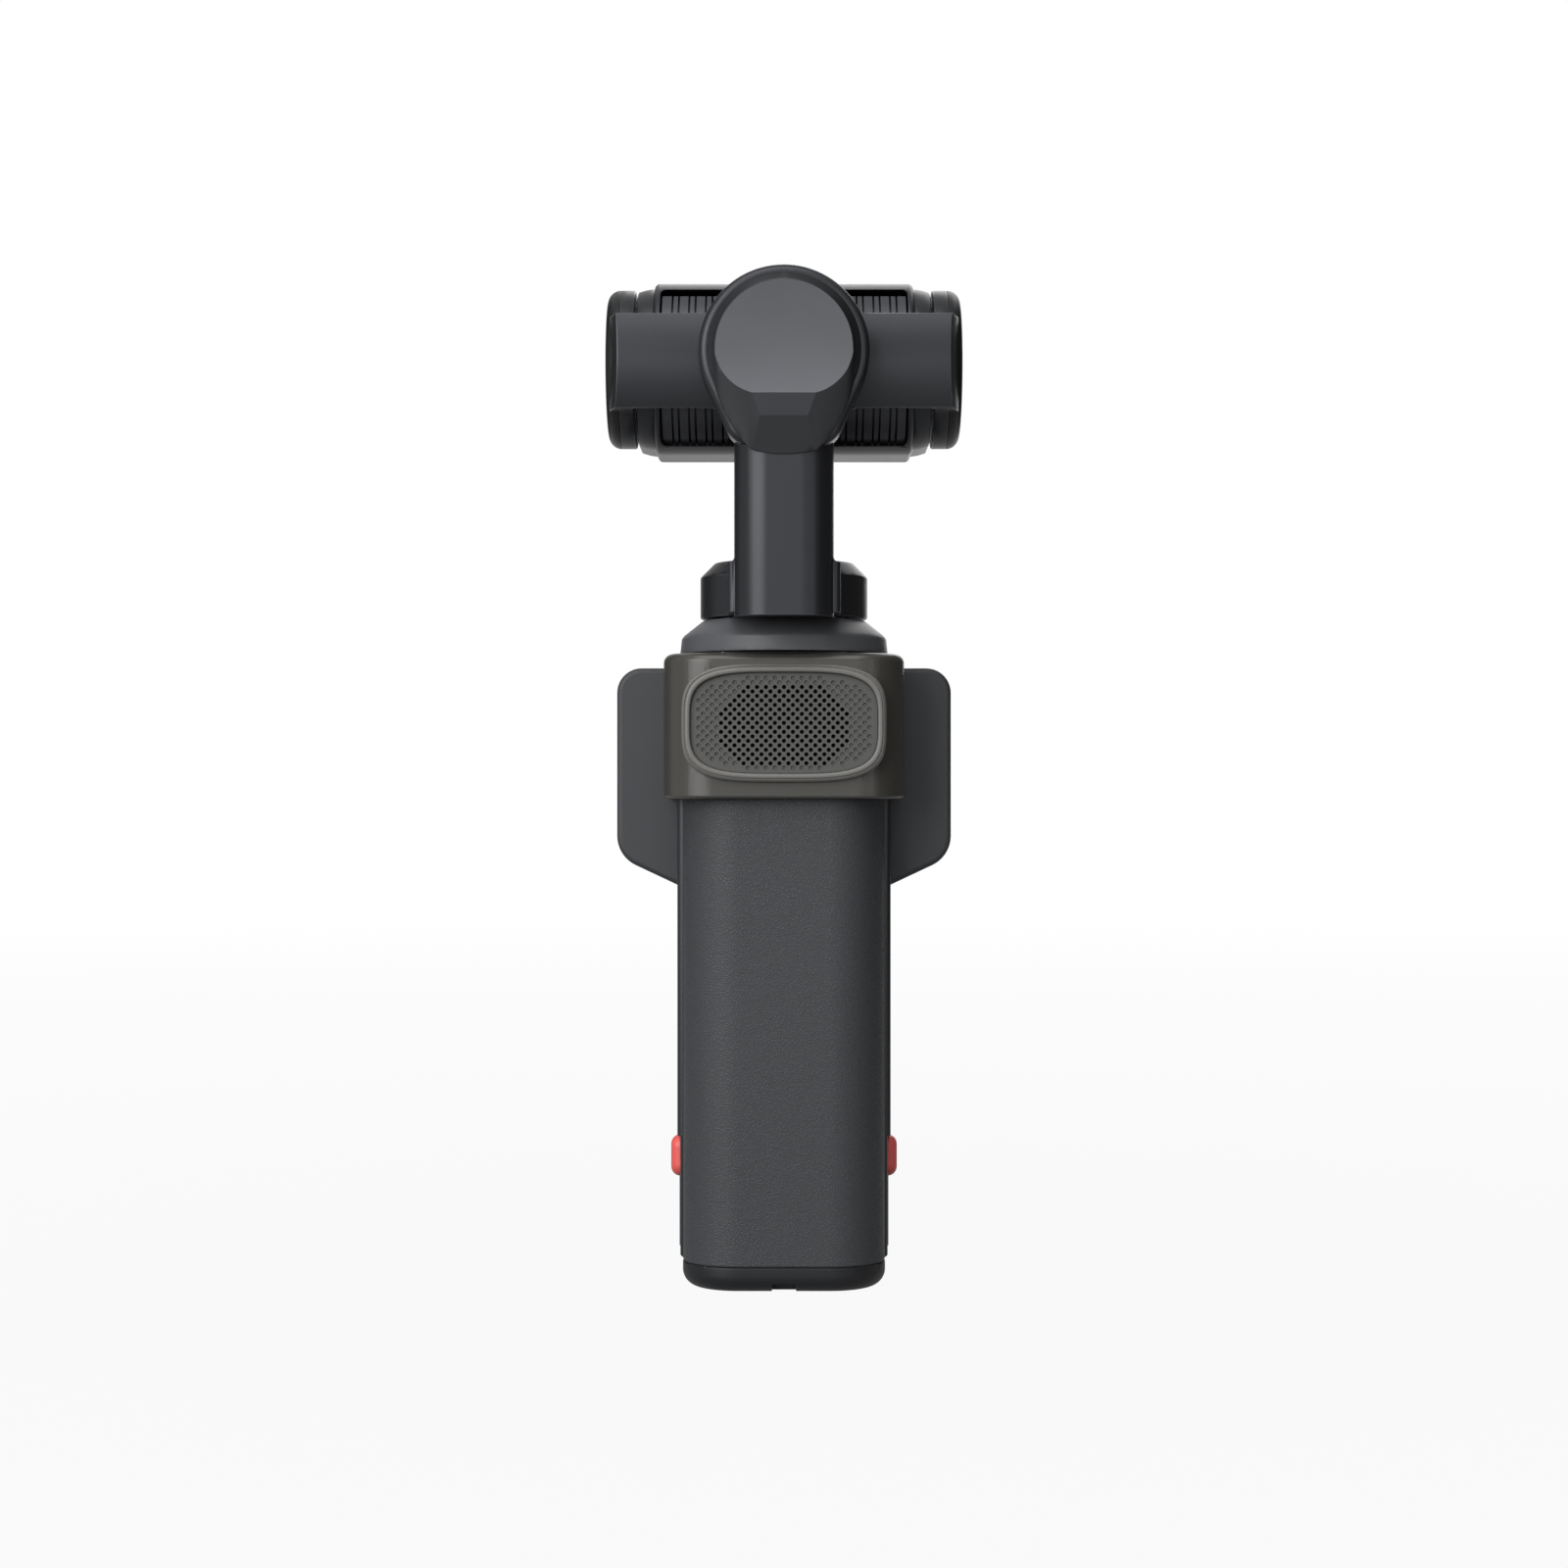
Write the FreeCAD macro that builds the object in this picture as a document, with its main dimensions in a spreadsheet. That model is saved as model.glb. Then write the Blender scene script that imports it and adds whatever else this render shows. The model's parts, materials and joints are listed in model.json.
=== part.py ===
import FreeCAD, Part
import math
import os
import Sketcher

# Hand-held gimbal camera: a stick handle with a touchscreen module on its front, and a camera
# head that turns about three axes on top. Millimetres, +Z up, the screen and lenses face -Y.
# The origin is the mouth of the tripod thread, under the handle on the pan axis.

doc = FreeCAD.newDocument("gimbal_camera")
sheet = doc.addObject("Spreadsheet::Sheet", "Sizes")
nodes = []
up = FreeCAD.Vector(0, 0, 1)


# Sizes: a number with the formula that makes it from the sheet's cells

class Size:
    def __init__(self, number, formula):
        self.number = number
        self.formula = formula

    def __add__(self, other):
        return joined(self, "+", other, self.number + number(other))

    def __radd__(self, other):
        return as_size(other) + self

    def __sub__(self, other):
        return joined(self, "-", other, self.number - number(other))

    def __rsub__(self, other):
        return as_size(other) - self

    def __mul__(self, other):
        return joined(self, "*", other, self.number * number(other))

    def __rmul__(self, other):
        return as_size(other) * self

    def __truediv__(self, other):
        return joined(self, "/", other, self.number / number(other))

    def __neg__(self):
        return Size(-self.number, "-1 * " + self.formula)


def as_size(value):
    return value if isinstance(value, Size) else Size(float(value), repr(float(value)))


def number(value):
    return as_size(value).number


def joined(left, sign, right, result):
    return Size(result, "(%s %s %s)" % (left.formula, sign, as_size(right).formula))


def cell(alias, value):
    row = len(sheet.getUsedCells()) // 2 + 1
    sheet.set("A%d" % row, alias.replace("_", " "))
    sheet.set("B%d" % row, str(value))
    sheet.setAlias("B%d" % row, alias)
    return Size(float(value), "Sizes." + alias)


# Handle
handle_half_width = cell("handle_half_width", 16.15)
handle_length = cell("handle_length", 91.4)
frame_front = cell("frame_front", 6.0)
frame_rear = cell("frame_rear", 3.4)
frame_wall = cell("frame_wall", 1.6)
frame_corner = cell("frame_corner", 0.9)
foot_length = cell("foot_length", 18.5)
foot_step = cell("foot_step", 0.45)
foot_chamfer = cell("foot_chamfer", 0.45)
base_height = cell("base_height", 3.8)
base_step = cell("base_step", 0.9)
base_rounding = cell("base_rounding", 2.5)
cover_step = cell("cover_step", 0.95)
cover_depth = cell("cover_depth", 9.0)
cover_corner = cell("cover_corner", 8.4)
cover_wall = cell("cover_wall", 1.4)
flange_radius = cell("flange_radius", 15.4)
flange_thickness = cell("flange_thickness", 1.4)
strap_slot_half_width = cell("strap_slot_half_width", 1.8)
strap_slot_height = cell("strap_slot_height", 1.4)
strap_well_depth = cell("strap_well_depth", 2.3)
strap_well_height = cell("strap_well_height", 3.0)
strap_pin_radius = cell("strap_pin_radius", 0.5)
strap_pin_rise = cell("strap_pin_rise", 1.9)
strap_pin_seat = cell("strap_pin_seat", 1.0)
thread_radius = cell("thread_radius", 2.55)
thread_length = cell("thread_length", 5.5)
insert_radius = cell("insert_radius", 4.2)
insert_roof = cell("insert_roof", 1.0)
port_half_width = cell("port_half_width", 4.5)
port_half_height = cell("port_half_height", 1.6)
port_length = cell("port_length", 7.0)
port_wall = cell("port_wall", 0.3)
port_place = cell("port_place", 6.6)
port_recess = cell("port_recess", 0.3)
port_floor = cell("port_floor", 1.0)
tongue_half_width = cell("tongue_half_width", 3.3)
tongue_recess = cell("tongue_recess", 0.7)
screw_place = cell("screw_place", 12.6)
screw_setback = cell("screw_setback", 2.4)
screw_length = cell("screw_length", 8.0)
screw_radius = cell("screw_radius", 0.8)
screw_head_radius = cell("screw_head_radius", 1.5)
screw_head_height = cell("screw_head_height", 1.0)
boss_half_width = cell("boss_half_width", 2.1)
boss_roof = cell("boss_roof", 1.0)
screw_end_gap = cell("screw_end_gap", 0.5)
battery_margin = cell("battery_margin", 0.6)
battery_depth = cell("battery_depth", 9.4)
battery_bottom = cell("battery_bottom", 27.0)
battery_length = cell("battery_length", 48.0)
board_margin = cell("board_margin", 1.6)
board_top_gap = cell("board_top_gap", 1.0)
board_thickness = cell("board_thickness", 1.0)
rest_gap = cell("rest_gap", 0.2)
contact_radius = cell("contact_radius", 0.6)
contact_spacing = cell("contact_spacing", 2.5)
contact_drop = cell("contact_drop", 6.9)
contact_board_margin = cell("contact_board_margin", 1.2)
microphone_radius = cell("microphone_radius", 2.0)
microphone_depth = cell("microphone_depth", 2.0)
microphone_margin = cell("microphone_margin", 0.3)
sound_hole_radius = cell("sound_hole_radius", 0.6)

# Release latches
latch_height = cell("latch_height", 18.9)
latch_offset = cell("latch_offset", 0.3)
latch_half_length = cell("latch_half_length", 3.15)
latch_half_depth = cell("latch_half_depth", 1.9)
latch_proud = cell("latch_proud", 1.05)
latch_rounding = cell("latch_rounding", 1.4)
latch_flange = cell("latch_flange", 1.0)
latch_flange_margin = cell("latch_flange_margin", 0.8)
latch_nose_thickness = cell("latch_nose_thickness", 1.2)
latch_nose_half_length = cell("latch_nose_half_length", 1.5)
latch_nose_reach = cell("latch_nose_reach", 1.2)
latch_travel = cell("latch_travel", 1.0)
latch_play = cell("latch_play", 0.36)
latch_bracket_half_width = cell("latch_bracket_half_width", 8.0)
latch_bracket_margin = cell("latch_bracket_margin", 1.3)
slide_gap = cell("slide_gap", 0.12)
slot_gap = cell("slot_gap", 0.24)
spring_radius = cell("spring_radius", 1.3)
spring_wire_radius = cell("spring_wire_radius", 0.22)
spring_wire_sides = cell("spring_wire_sides", 8)
spring_turns = cell("spring_turns", 5)

# Control module
dock_gap = cell("dock_gap", 0.2)
module_depth = cell("module_depth", 7.3)
module_wall = cell("module_wall", 1.4)
module_back = cell("module_back", 1.2)
face_thickness = cell("face_thickness", 1.0)
module_rounding = cell("module_rounding", 0.8)
wing_slant = cell("wing_slant", 4.55)
wing_gap = cell("wing_gap", 0.4)
wing_top_corner = cell("wing_top_corner", 3.8)
wing_low_corner = cell("wing_low_corner", 5.0)
wing_foot_corner = cell("wing_foot_corner", 0.8)
glass_half_width = cell("glass_half_width", 24.3)
glass_height = cell("glass_height", 26.2)
glass_top_margin = cell("glass_top_margin", 1.2)
glass_low_margin = cell("glass_low_margin", 1.7)
glass_side_margin = cell("glass_side_margin", 1.5)
glass_corner = cell("glass_corner", 2.0)
display_side_margin = cell("display_side_margin", 1.5)
display_end_margin = cell("display_end_margin", 0.3)
display_thickness = cell("display_thickness", 1.7)
module_battery_side_margin = cell("module_battery_side_margin", 4.3)
module_battery_end_margin = cell("module_battery_end_margin", 1.1)
module_board_margin = cell("module_board_margin", 2.37)
module_board_bottom = cell("module_board_bottom", 8.0)
module_board_top_margin = cell("module_board_top_margin", 1.75)
stick_drop = cell("stick_drop", 5.75)
stick_cap_radius = cell("stick_cap_radius", 5.2)
stick_hole_radius = cell("stick_hole_radius", 6.4)
stick_stem_radius = cell("stick_stem_radius", 1.5)
stick_ring_radius = cell("stick_ring_radius", 3.1)
stick_base_radius = cell("stick_base_radius", 5.5)
stick_base_height = cell("stick_base_height", 2.4)
stick_proud = cell("stick_proud", 1.1)
stick_cap_thickness = cell("stick_cap_thickness", 1.7)
stick_rounding = cell("stick_rounding", 0.68)
stick_dish_radius = cell("stick_dish_radius", 3.0)
stick_dish_depth = cell("stick_dish_depth", 0.5)
pivot_drop = cell("pivot_drop", 0.5)
pivot_half_thickness = cell("pivot_half_thickness", 0.3)
pivot_play = cell("pivot_play", 0.4)
record_spacing = cell("record_spacing", 3.4)
record_radius = cell("record_radius", 4.2)
function_spacing = cell("function_spacing", 4.5)
function_half_width = cell("function_half_width", 4.0)
function_half_height = cell("function_half_height", 1.8)
button_gap = cell("button_gap", 0.15)
button_proud = cell("button_proud", 0.4)
button_rounding = cell("button_rounding", 0.24)
button_flange = cell("button_flange", 0.8)
button_flange_margin = cell("button_flange_margin", 0.7)
button_travel = cell("button_travel", 0.3)
switch_radius = cell("switch_radius", 1.6)

# Wind guard
guard_gap = cell("guard_gap", 0.3)
guard_wall = cell("guard_wall", 1.55)
guard_back = cell("guard_back", 2.3)
guard_front_step = cell("guard_front_step", 0.4)
guard_height = cell("guard_height", 21.6)
guard_corner = cell("guard_corner", 7.5)
guard_inner_corner = cell("guard_inner_corner", 6.0)
guard_rounding = cell("guard_rounding", 0.5)
guard_shoulder = cell("guard_shoulder", 1.35)
grille_half_width = cell("grille_half_width", 15.1)
grille_half_height = cell("grille_half_height", 8.74)
grille_drop = cell("grille_drop", 10.43)
grille_corner = cell("grille_corner", 6.6)
rim_width = cell("rim_width", 1.2)
rim_height = cell("rim_height", 1.5)
rim_rounding = cell("rim_rounding", 0.42)
mesh_thickness = cell("mesh_thickness", 0.5)
mesh_gap = cell("mesh_gap", 0.1)
mesh_spacing = cell("mesh_spacing", 1.32)
mesh_hole_radius = cell("mesh_hole_radius", 0.27)
mesh_zone_half_width = cell("mesh_zone_half_width", 9.8)
mesh_zone_half_height = cell("mesh_zone_half_height", 6.1)
mesh_zone_corner = cell("mesh_zone_corner", 3.9)

# Neck and pan motor
neck_radius = cell("neck_radius", 15.8)
neck_top_radius = cell("neck_top_radius", 12.24)
neck_shoulder_radius = cell("neck_shoulder_radius", 15.15)
neck_bore = cell("neck_bore", 10.4)
neck_height = cell("neck_height", 5.1)
neck_band = cell("neck_band", 2.3)
neck_edge = cell("neck_edge", 0.5)
neck_draft = cell("neck_draft", 0.25)
pan_gap = cell("pan_gap", 0.27)
pan_radius = cell("pan_radius", 12.7)
pan_height = cell("pan_height", 8.43)
pan_chamfer = cell("pan_chamfer", 2.2)
pan_roof = cell("pan_roof", 2.0)
pan_wall = cell("pan_wall", 2.3)
stator_radius = cell("stator_radius", 7.9)
stator_foot = cell("stator_foot", 1.2)
stator_foot_radius = cell("stator_foot_radius", 9.9)
stator_neck_radius = cell("stator_neck_radius", 5.9)
stator_floor = cell("stator_floor", 1.0)
shaft_radius = cell("shaft_radius", 2.0)
bearing_radius = cell("bearing_radius", 4.0)
bearing_length = cell("bearing_length", 5.0)
bearing_drop = cell("bearing_drop", 1.5)
bearing_lip = cell("bearing_lip", 0.5)
shaft_end = cell("shaft_end", 0.5)
running_gap = cell("running_gap", 0.05)
rotor_gap = cell("rotor_gap", 0.3)
rotor_wall = cell("rotor_wall", 1.3)
rotor_plate = cell("rotor_plate", 1.2)

# Arm and roll motor
arm_reach = cell("arm_reach", 29.5)
column_half_width = cell("column_half_width", 7.3)
column_front = cell("column_front", 16.7)
column_depth = cell("column_depth", 5.3)
column_corner = cell("column_corner", 4.9)
column_drop = cell("column_drop", 0.6)
column_wall = cell("column_wall", 2.5)
column_overlap = cell("column_overlap", 4.0)
channel_front_wall = cell("channel_front_wall", 1.25)
channel_rear_wall = cell("channel_rear_wall", 2.1)
cable_half_width = cell("cable_half_width", 3.0)
cable_thickness = cell("cable_thickness", 0.3)
bridge_margin = cell("bridge_margin", 1.0)
bridge_step = cell("bridge_step", 1.0)
bridge_overlap = cell("bridge_overlap", 1.5)
bridge_fillet = cell("bridge_fillet", 0.8)
bridge_corner = cell("bridge_corner", 0.95)
roll_gap = cell("roll_gap", 0.5)
can_radius = cell("can_radius", 12.44)
can_depth = cell("can_depth", 5.7)
can_wall = cell("can_wall", 1.2)
can_rim = cell("can_rim", 1.75)
can_rounding = cell("can_rounding", 1.1)
can_floor = cell("can_floor", 1.0)
roll_coil_width = cell("roll_coil_width", 2.8)
roll_coil_depth = cell("roll_coil_depth", 4.2)
roll_rotor_depth = cell("roll_rotor_depth", 3.2)
taper_angle = cell("taper_angle", 25)
taper_corner = cell("taper_corner", 3.5)
cover_margin = cell("cover_margin", 1.25)
cover_base = cell("cover_base", 0.2)
cover_height = cell("cover_height", 1.2)
disc_radius = cell("disc_radius", 10.03)
disc_chord = cell("disc_chord", 6.45)
disc_chord_half_width = cell("disc_chord_half_width", 4.65)
disc_shoulder_drop = cell("disc_shoulder_drop", 1.0)
disc_bulge = cell("disc_bulge", 0.75)
cover_bulge = cell("cover_bulge", 0.8)
cover_bulge_drop = cell("cover_bulge_drop", 0.35)
facet_half_width = cell("facet_half_width", 3.5)
facet_length = cell("facet_length", 3.25)
facet_drop = cell("facet_drop", 0.28)
cover_end_half_width = cell("cover_end_half_width", 4.7)
cover_end_drop = cell("cover_end_drop", 14.6)
cover_end_bow = cell("cover_end_bow", 0.6)
boss_radius = cell("boss_radius", 3.0)
boss_reach = cell("boss_reach", 2.6)

# Yoke
bar_front = cell("bar_front", 13.5)
bar_thickness = cell("bar_thickness", 2.4)
bar_above = cell("bar_above", 6.4)
bar_below = cell("bar_below", 7.5)
bar_face_half_width = cell("bar_face_half_width", 24.6)
bevel_start = cell("bevel_start", 10.6)
bevel_inset = cell("bevel_inset", 0.65)
bar_crown_radius = cell("bar_crown_radius", 19.5)
yoke_notch = cell("yoke_notch", 0.8)
hub_fillet = cell("hub_fillet", 3.0)
hub_margin = cell("hub_margin", 0.1)
cheek_radius = cell("cheek_radius", 11.95)
cheek_inside = cell("cheek_inside", 22.4)
cheek_wall = cell("cheek_wall", 1.2)
cheek_plate = cell("cheek_plate", 2.2)
cap_thickness = cell("cap_thickness", 2.0)
cap_wall = cell("cap_wall", 1.2)
cap_rounding = cell("cap_rounding", 1.9)
cap_gap = cell("cap_gap", 0.05)
cheek_bore = cell("cheek_bore", 10.2)
tilt_boss_radius = cell("tilt_boss_radius", 4.0)
tilt_boss_reach = cell("tilt_boss_reach", 1.5)
tilt_bearing_radius = cell("tilt_bearing_radius", 6.0)
tilt_coil_width = cell("tilt_coil_width", 2.6)
tilt_coil_depth = cell("tilt_coil_depth", 1.5)
tilt_rotor_depth = cell("tilt_rotor_depth", 1.2)

# Camera head
head_radius = cell("head_radius", 12.95)
head_front_reach = cell("head_front_reach", 13.5)
head_front_corner = cell("head_front_corner", 4.0)
head_split = cell("head_split", 8.0)
head_wall = cell("head_wall", 1.5)
front_lip = cell("front_lip", 2.0)
head_half_width = cell("head_half_width", 19.5)
head_end_rounding = cell("head_end_rounding", 0.75)
head_gap = cell("head_gap", 0.4)
head_end_scale = cell("head_end_scale", 0.9)
head_end_start_scale = cell("head_end_start_scale", 0.942)
head_end_wall = cell("head_end_wall", 2.5)
head_end_middle = cell("head_end_middle", 1.3)
head_end_middle_scale = cell("head_end_middle_scale", 0.927)
head_end_hollow = cell("head_end_hollow", 1.2)
window_half_width = cell("window_half_width", 18.5)
window_above = cell("window_above", 11.2)
window_below = cell("window_below", 12.1)
window_corner = cell("window_corner", 0.9)
window_front = cell("window_front", 2.5)
sink_radius = cell("sink_radius", 12.35)
sink_root = cell("sink_root", 11.1)
sink_wall = cell("sink_wall", 0.9)
fin_above = cell("fin_above", 10.1)
fin_pitch = cell("fin_pitch", 2.5)
fin_wide = cell("fin_wide", 1.25)
fin_slot = cell("fin_slot", 0.3)
lens_proud = cell("lens_proud", 1.5)
main_lens_place = cell("main_lens_place", 8.2)
main_lens_radius = cell("main_lens_radius", 7.5)
main_glass_radius = cell("main_glass_radius", 5.4)
tele_lens_place = cell("tele_lens_place", 9.2)
tele_lens_radius = cell("tele_lens_radius", 5.9)
tele_glass_radius = cell("tele_glass_radius", 4.1)
lens_length = cell("lens_length", 11.0)
lens_recess = cell("lens_recess", 1.6)
lens_gap = cell("lens_gap", 0.1)
lens_step = cell("lens_step", 0.8)
lens_rounding = cell("lens_rounding", 0.4)
lens_bore_depth = cell("lens_bore_depth", 2.5)
glass_seat = cell("glass_seat", 0.5)
glass_ledge = cell("glass_ledge", 0.6)
glass_dome = cell("glass_dome", 0.9)
sensor_margin = cell("sensor_margin", 0.6)
processor_margin = cell("processor_margin", 1.3)
processor_setback = cell("processor_setback", 1.0)
head_board_margin = cell("head_board_margin", 3.3)

# Heights and faces that several pieces share
foot_top = base_height + foot_length
frame_top = base_height + handle_length
flange_bottom = frame_top - flange_thickness
frame_inside = handle_half_width - frame_wall
cover_half_width = handle_half_width - cover_step
cover_rear = frame_rear + cover_depth
microphone_place = cover_half_width - cover_corner - microphone_radius - microphone_margin
module_rear = frame_front + dock_gap
module_front = module_rear + module_depth
face_rear = module_front - face_thickness
wing_top = flange_bottom - wing_gap
wing_half_width = glass_half_width + glass_side_margin
wing_bottom = wing_top - glass_top_margin - glass_height - glass_low_margin
wing_foot = wing_bottom - wing_slant
glass_centre = wing_top - glass_top_margin - glass_height / 2
stick_height = wing_foot - stick_drop
record_height = stick_height - stick_hole_radius - record_spacing - record_radius
function_height = record_height - record_radius - function_spacing - function_half_height
neck_top = frame_top + neck_height
pan_bottom = neck_top + pan_gap
pan_top = pan_bottom + pan_height
axis_height = pan_top + arm_reach
column_rear = column_front + column_depth
column_bottom = pan_bottom - column_drop
bar_rear = bar_front + bar_thickness
can_front = bar_rear + roll_gap
can_rear = can_front + can_depth
cheek_outside = cheek_inside + cheek_plate
cap_outside = cheek_outside + cap_thickness
head_end = cheek_inside - head_gap
guard_top = frame_top - guard_gap
guard_rear = cover_rear + guard_gap + guard_back
grille_height = guard_top - grille_drop
contact_height = latch_height - contact_drop

# How far a cut runs past the faces that it opens, and how nearly round a slot's ends are
overshoot = 1.0
slot_roundness = 0.98


# Outlines in a sketch

def pin(sketch, shape, point, across, rise):
    for kind, place in (("DistanceX", across), ("DistanceY", rise)):
        place = as_size(place)
        if abs(place.number) < 1e-9:
            axis = -2 if kind == "DistanceX" else -1
            sketch.addConstraint(Sketcher.Constraint("PointOnObject", shape, point, axis))
        else:
            rule = Sketcher.Constraint(kind, -1, 1, shape, point, place.number)
            bind(sketch, "Constraints[%d]" % sketch.addConstraint(rule), place)


def point_at(across, rise):
    return FreeCAD.Vector(number(across), number(rise), 0)


def circle(across, rise, radius):
    def draw(sketch):
        shape = sketch.addGeometry(Part.Circle(point_at(across, rise), up, number(radius)))
        pin(sketch, shape, 3, across, rise)
        rule = Sketcher.Constraint("Radius", shape, number(radius))
        bind(sketch, "Constraints[%d]" % sketch.addConstraint(rule), radius)
    return draw


def polygon(*corners):
    def draw(sketch):
        first = sketch.GeometryCount
        for corner, following in zip(corners, corners[1:] + corners[:1]):
            sketch.addGeometry(Part.LineSegment(point_at(*corner), point_at(*following)))
        for index, corner in enumerate(corners):
            before = first + (index - 1) % len(corners)
            sketch.addConstraint(Sketcher.Constraint("Coincident", before, 2, first + index, 1))
            pin(sketch, first + index, 1, *corner)
    return draw


def rectangle(left, right, low, high):
    return polygon((left, low), (right, low), (right, high), (left, high))


def rounded(left, right, low, high, corner, low_corner=None):
    # All four corners are round, or only the high two when low_corner is 0
    inset = corner if low_corner is None else low_corner

    def draw(sketch):
        sides = [((left + inset, low), (right - inset, low)),
                 ((right, low + inset), (right, high - corner)),
                 ((right - corner, high), (left + corner, high)),
                 ((left, high - corner), (left, low + inset))]
        centres = [(right - inset, low + inset), (right - corner, high - corner),
                   (left + corner, high - corner), (left + inset, low + inset)]
        is_round = [number(inset) > 0, True, True, number(inset) > 0]
        lines = [sketch.addGeometry(Part.LineSegment(point_at(*side[0]), point_at(*side[1])))
                 for side in sides]
        for index, side in enumerate(sides):
            following = lines[(index + 1) % 4]
            pin(sketch, lines[index], 1, *side[0])
            if not is_round[index]:
                rule = Sketcher.Constraint("Coincident", lines[index], 2, following, 1)
                sketch.addConstraint(rule)
                continue
            pin(sketch, lines[index], 2, *side[1])
            whole = Part.Circle(point_at(*centres[index]), up, number(corner))
            start = (index - 1) * math.pi / 2
            arc = sketch.addGeometry(Part.ArcOfCircle(whole, start, start + math.pi / 2))
            sketch.addConstraint(Sketcher.Constraint("Tangent", lines[index], 2, arc, 1))
            sketch.addConstraint(Sketcher.Constraint("Coincident", arc, 2, following, 1))
    return draw


# Features of a body

def bind(item, name, value):
    item.setExpression(name, as_size(value).formula)


def new_body(label):
    body = doc.addObject("PartDesign::Body", label)
    body.Label = label
    body.AllowCompound = True
    nodes.append(body)
    return body


def add_sketch(body, plane, start, end, outlines):
    sketch = body.newObject("Sketcher::SketchObject", "Outline")
    role = plane + "_Plane"
    face = [item for item in body.Origin.OriginFeatures if item.Role == role][0]
    sketch.AttachmentSupport = [(face, "")]
    sketch.MapMode = "FlatFace"
    bind(sketch, ".AttachmentOffset.Base.z", -as_size(end) if plane == "XZ" else start)
    for draw in outlines:
        draw(sketch)
    return sketch


def pad(body, plane, start, end, *outlines):
    sketch = add_sketch(body, plane, start, end, outlines)
    feature = body.newObject("PartDesign::Pad", "Pad")
    feature.Profile = sketch
    bind(feature, "Length", as_size(end) - start)
    return feature


def pocket(body, plane, start, end, *outlines):
    sketch = add_sketch(body, plane, start, end, outlines)
    feature = body.newObject("PartDesign::Pocket", "Pocket")
    feature.Profile = sketch
    feature.Reversed = True
    bind(feature, "Length", as_size(end) - start)
    return feature


def turned(body, *profile):
    sketch = add_sketch(body, "XZ", 0, 0, [polygon(*profile)])
    feature = body.newObject("PartDesign::Revolution", "Revolution")
    feature.Profile = sketch
    feature.ReferenceAxis = (sketch, ["V_Axis"])
    feature.Angle = 360
    return feature


def treat_edges(body, kind, size, wanted):
    doc.recompute()
    base = body.Tip
    edges = enumerate(base.Shape.Edges, 1)
    names = ["Edge%d" % index for index, edge in edges if wanted(edge)]
    feature = body.newObject("PartDesign::" + kind, kind)
    feature.Base = (base, names)
    bind(feature, "Radius" if kind == "Fillet" else "Size", size)
    return feature


def runs_along(edge, axis):
    if not isinstance(edge.Curve, Part.Line):
        return False
    return abs(edge.Curve.Direction.dot(axis)) > 0.999


def near(first, second):
    return abs(first - number(second)) < 0.02


def centre_of(edge):
    return edge.BoundBox.Center


# Handle

def make_handle_frame():
    body = new_body("handle_frame")
    foot_half_width = handle_half_width - foot_step
    depth = FreeCAD.Vector(0, 1, 0)
    pad(body, "XY", base_height, foot_top,
        rounded(-foot_half_width, foot_half_width, -frame_front, frame_rear, frame_corner))
    treat_edges(body, "Chamfer", foot_chamfer, lambda edge: runs_along(edge, depth)
                and near(centre_of(edge).z, base_height))
    pad(body, "XY", foot_top, flange_bottom,
        rounded(-handle_half_width, handle_half_width, -frame_front, frame_rear, frame_corner))
    pad(body, "XY", flange_bottom, frame_top, circle(0, 0, flange_radius))
    beyond = flange_radius + frame_wall
    pocket(body, "XY", flange_bottom, frame_top, rectangle(-beyond, beyond, cover_rear, beyond))
    pocket(body, "XY", base_height, flange_bottom,
           rectangle(-frame_inside, frame_inside, -(frame_front - frame_wall),
                     frame_rear + overshoot))
    add_screw_bosses(body)
    cut_latch_openings(body)
    for place in contact_places():
        pocket(body, "XZ", -frame_front, -(frame_front - frame_wall),
               circle(place, contact_height, contact_radius))


def add_screw_bosses(body):
    front = -(frame_front - frame_wall)
    boss_top = base_height + screw_length
    for side in (-1, 1):
        inner = side * (screw_place - boss_half_width)
        outer = side * frame_inside
        left, right = (outer, inner) if side < 0 else (inner, outer)
        pad(body, "XY", base_height, boss_top,
            rectangle(left, right, front, boss_half_width - screw_setback))
        pocket(body, "XY", base_height, boss_top - boss_roof,
               circle(side * screw_place, -screw_setback, screw_radius))


def cut_latch_openings(body):
    middle = latch_middle()
    reach = handle_half_width + overshoot
    opening = latch_half_depth + slide_gap
    tall = latch_half_length + slide_gap
    for start, end in ((-reach, -frame_inside), (frame_inside, reach)):
        pocket(body, "YZ", start, end,
               rounded(middle - opening, middle + opening, latch_height - tall,
                       latch_height + tall, opening * slot_roundness))
    for side in (-1, 1):
        outer = side * frame_inside
        inner = side * nose_inside_at_travel()
        left, right = (outer, inner) if side < 0 else (inner, outer)
        half = latch_nose_half_length + slide_gap
        pocket(body, "XZ", -frame_front, -(frame_front - frame_wall),
               rectangle(left, right, latch_height - half, latch_height + half))


def latch_middle():
    return (frame_rear - frame_front) / 2 + latch_offset


def nose_inside_at_travel():
    return frame_inside - slide_gap - latch_nose_thickness - latch_travel - latch_play


def contact_places():
    return [contact_spacing * step for step in (-2, -1, 0, 1, 2)]


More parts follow.
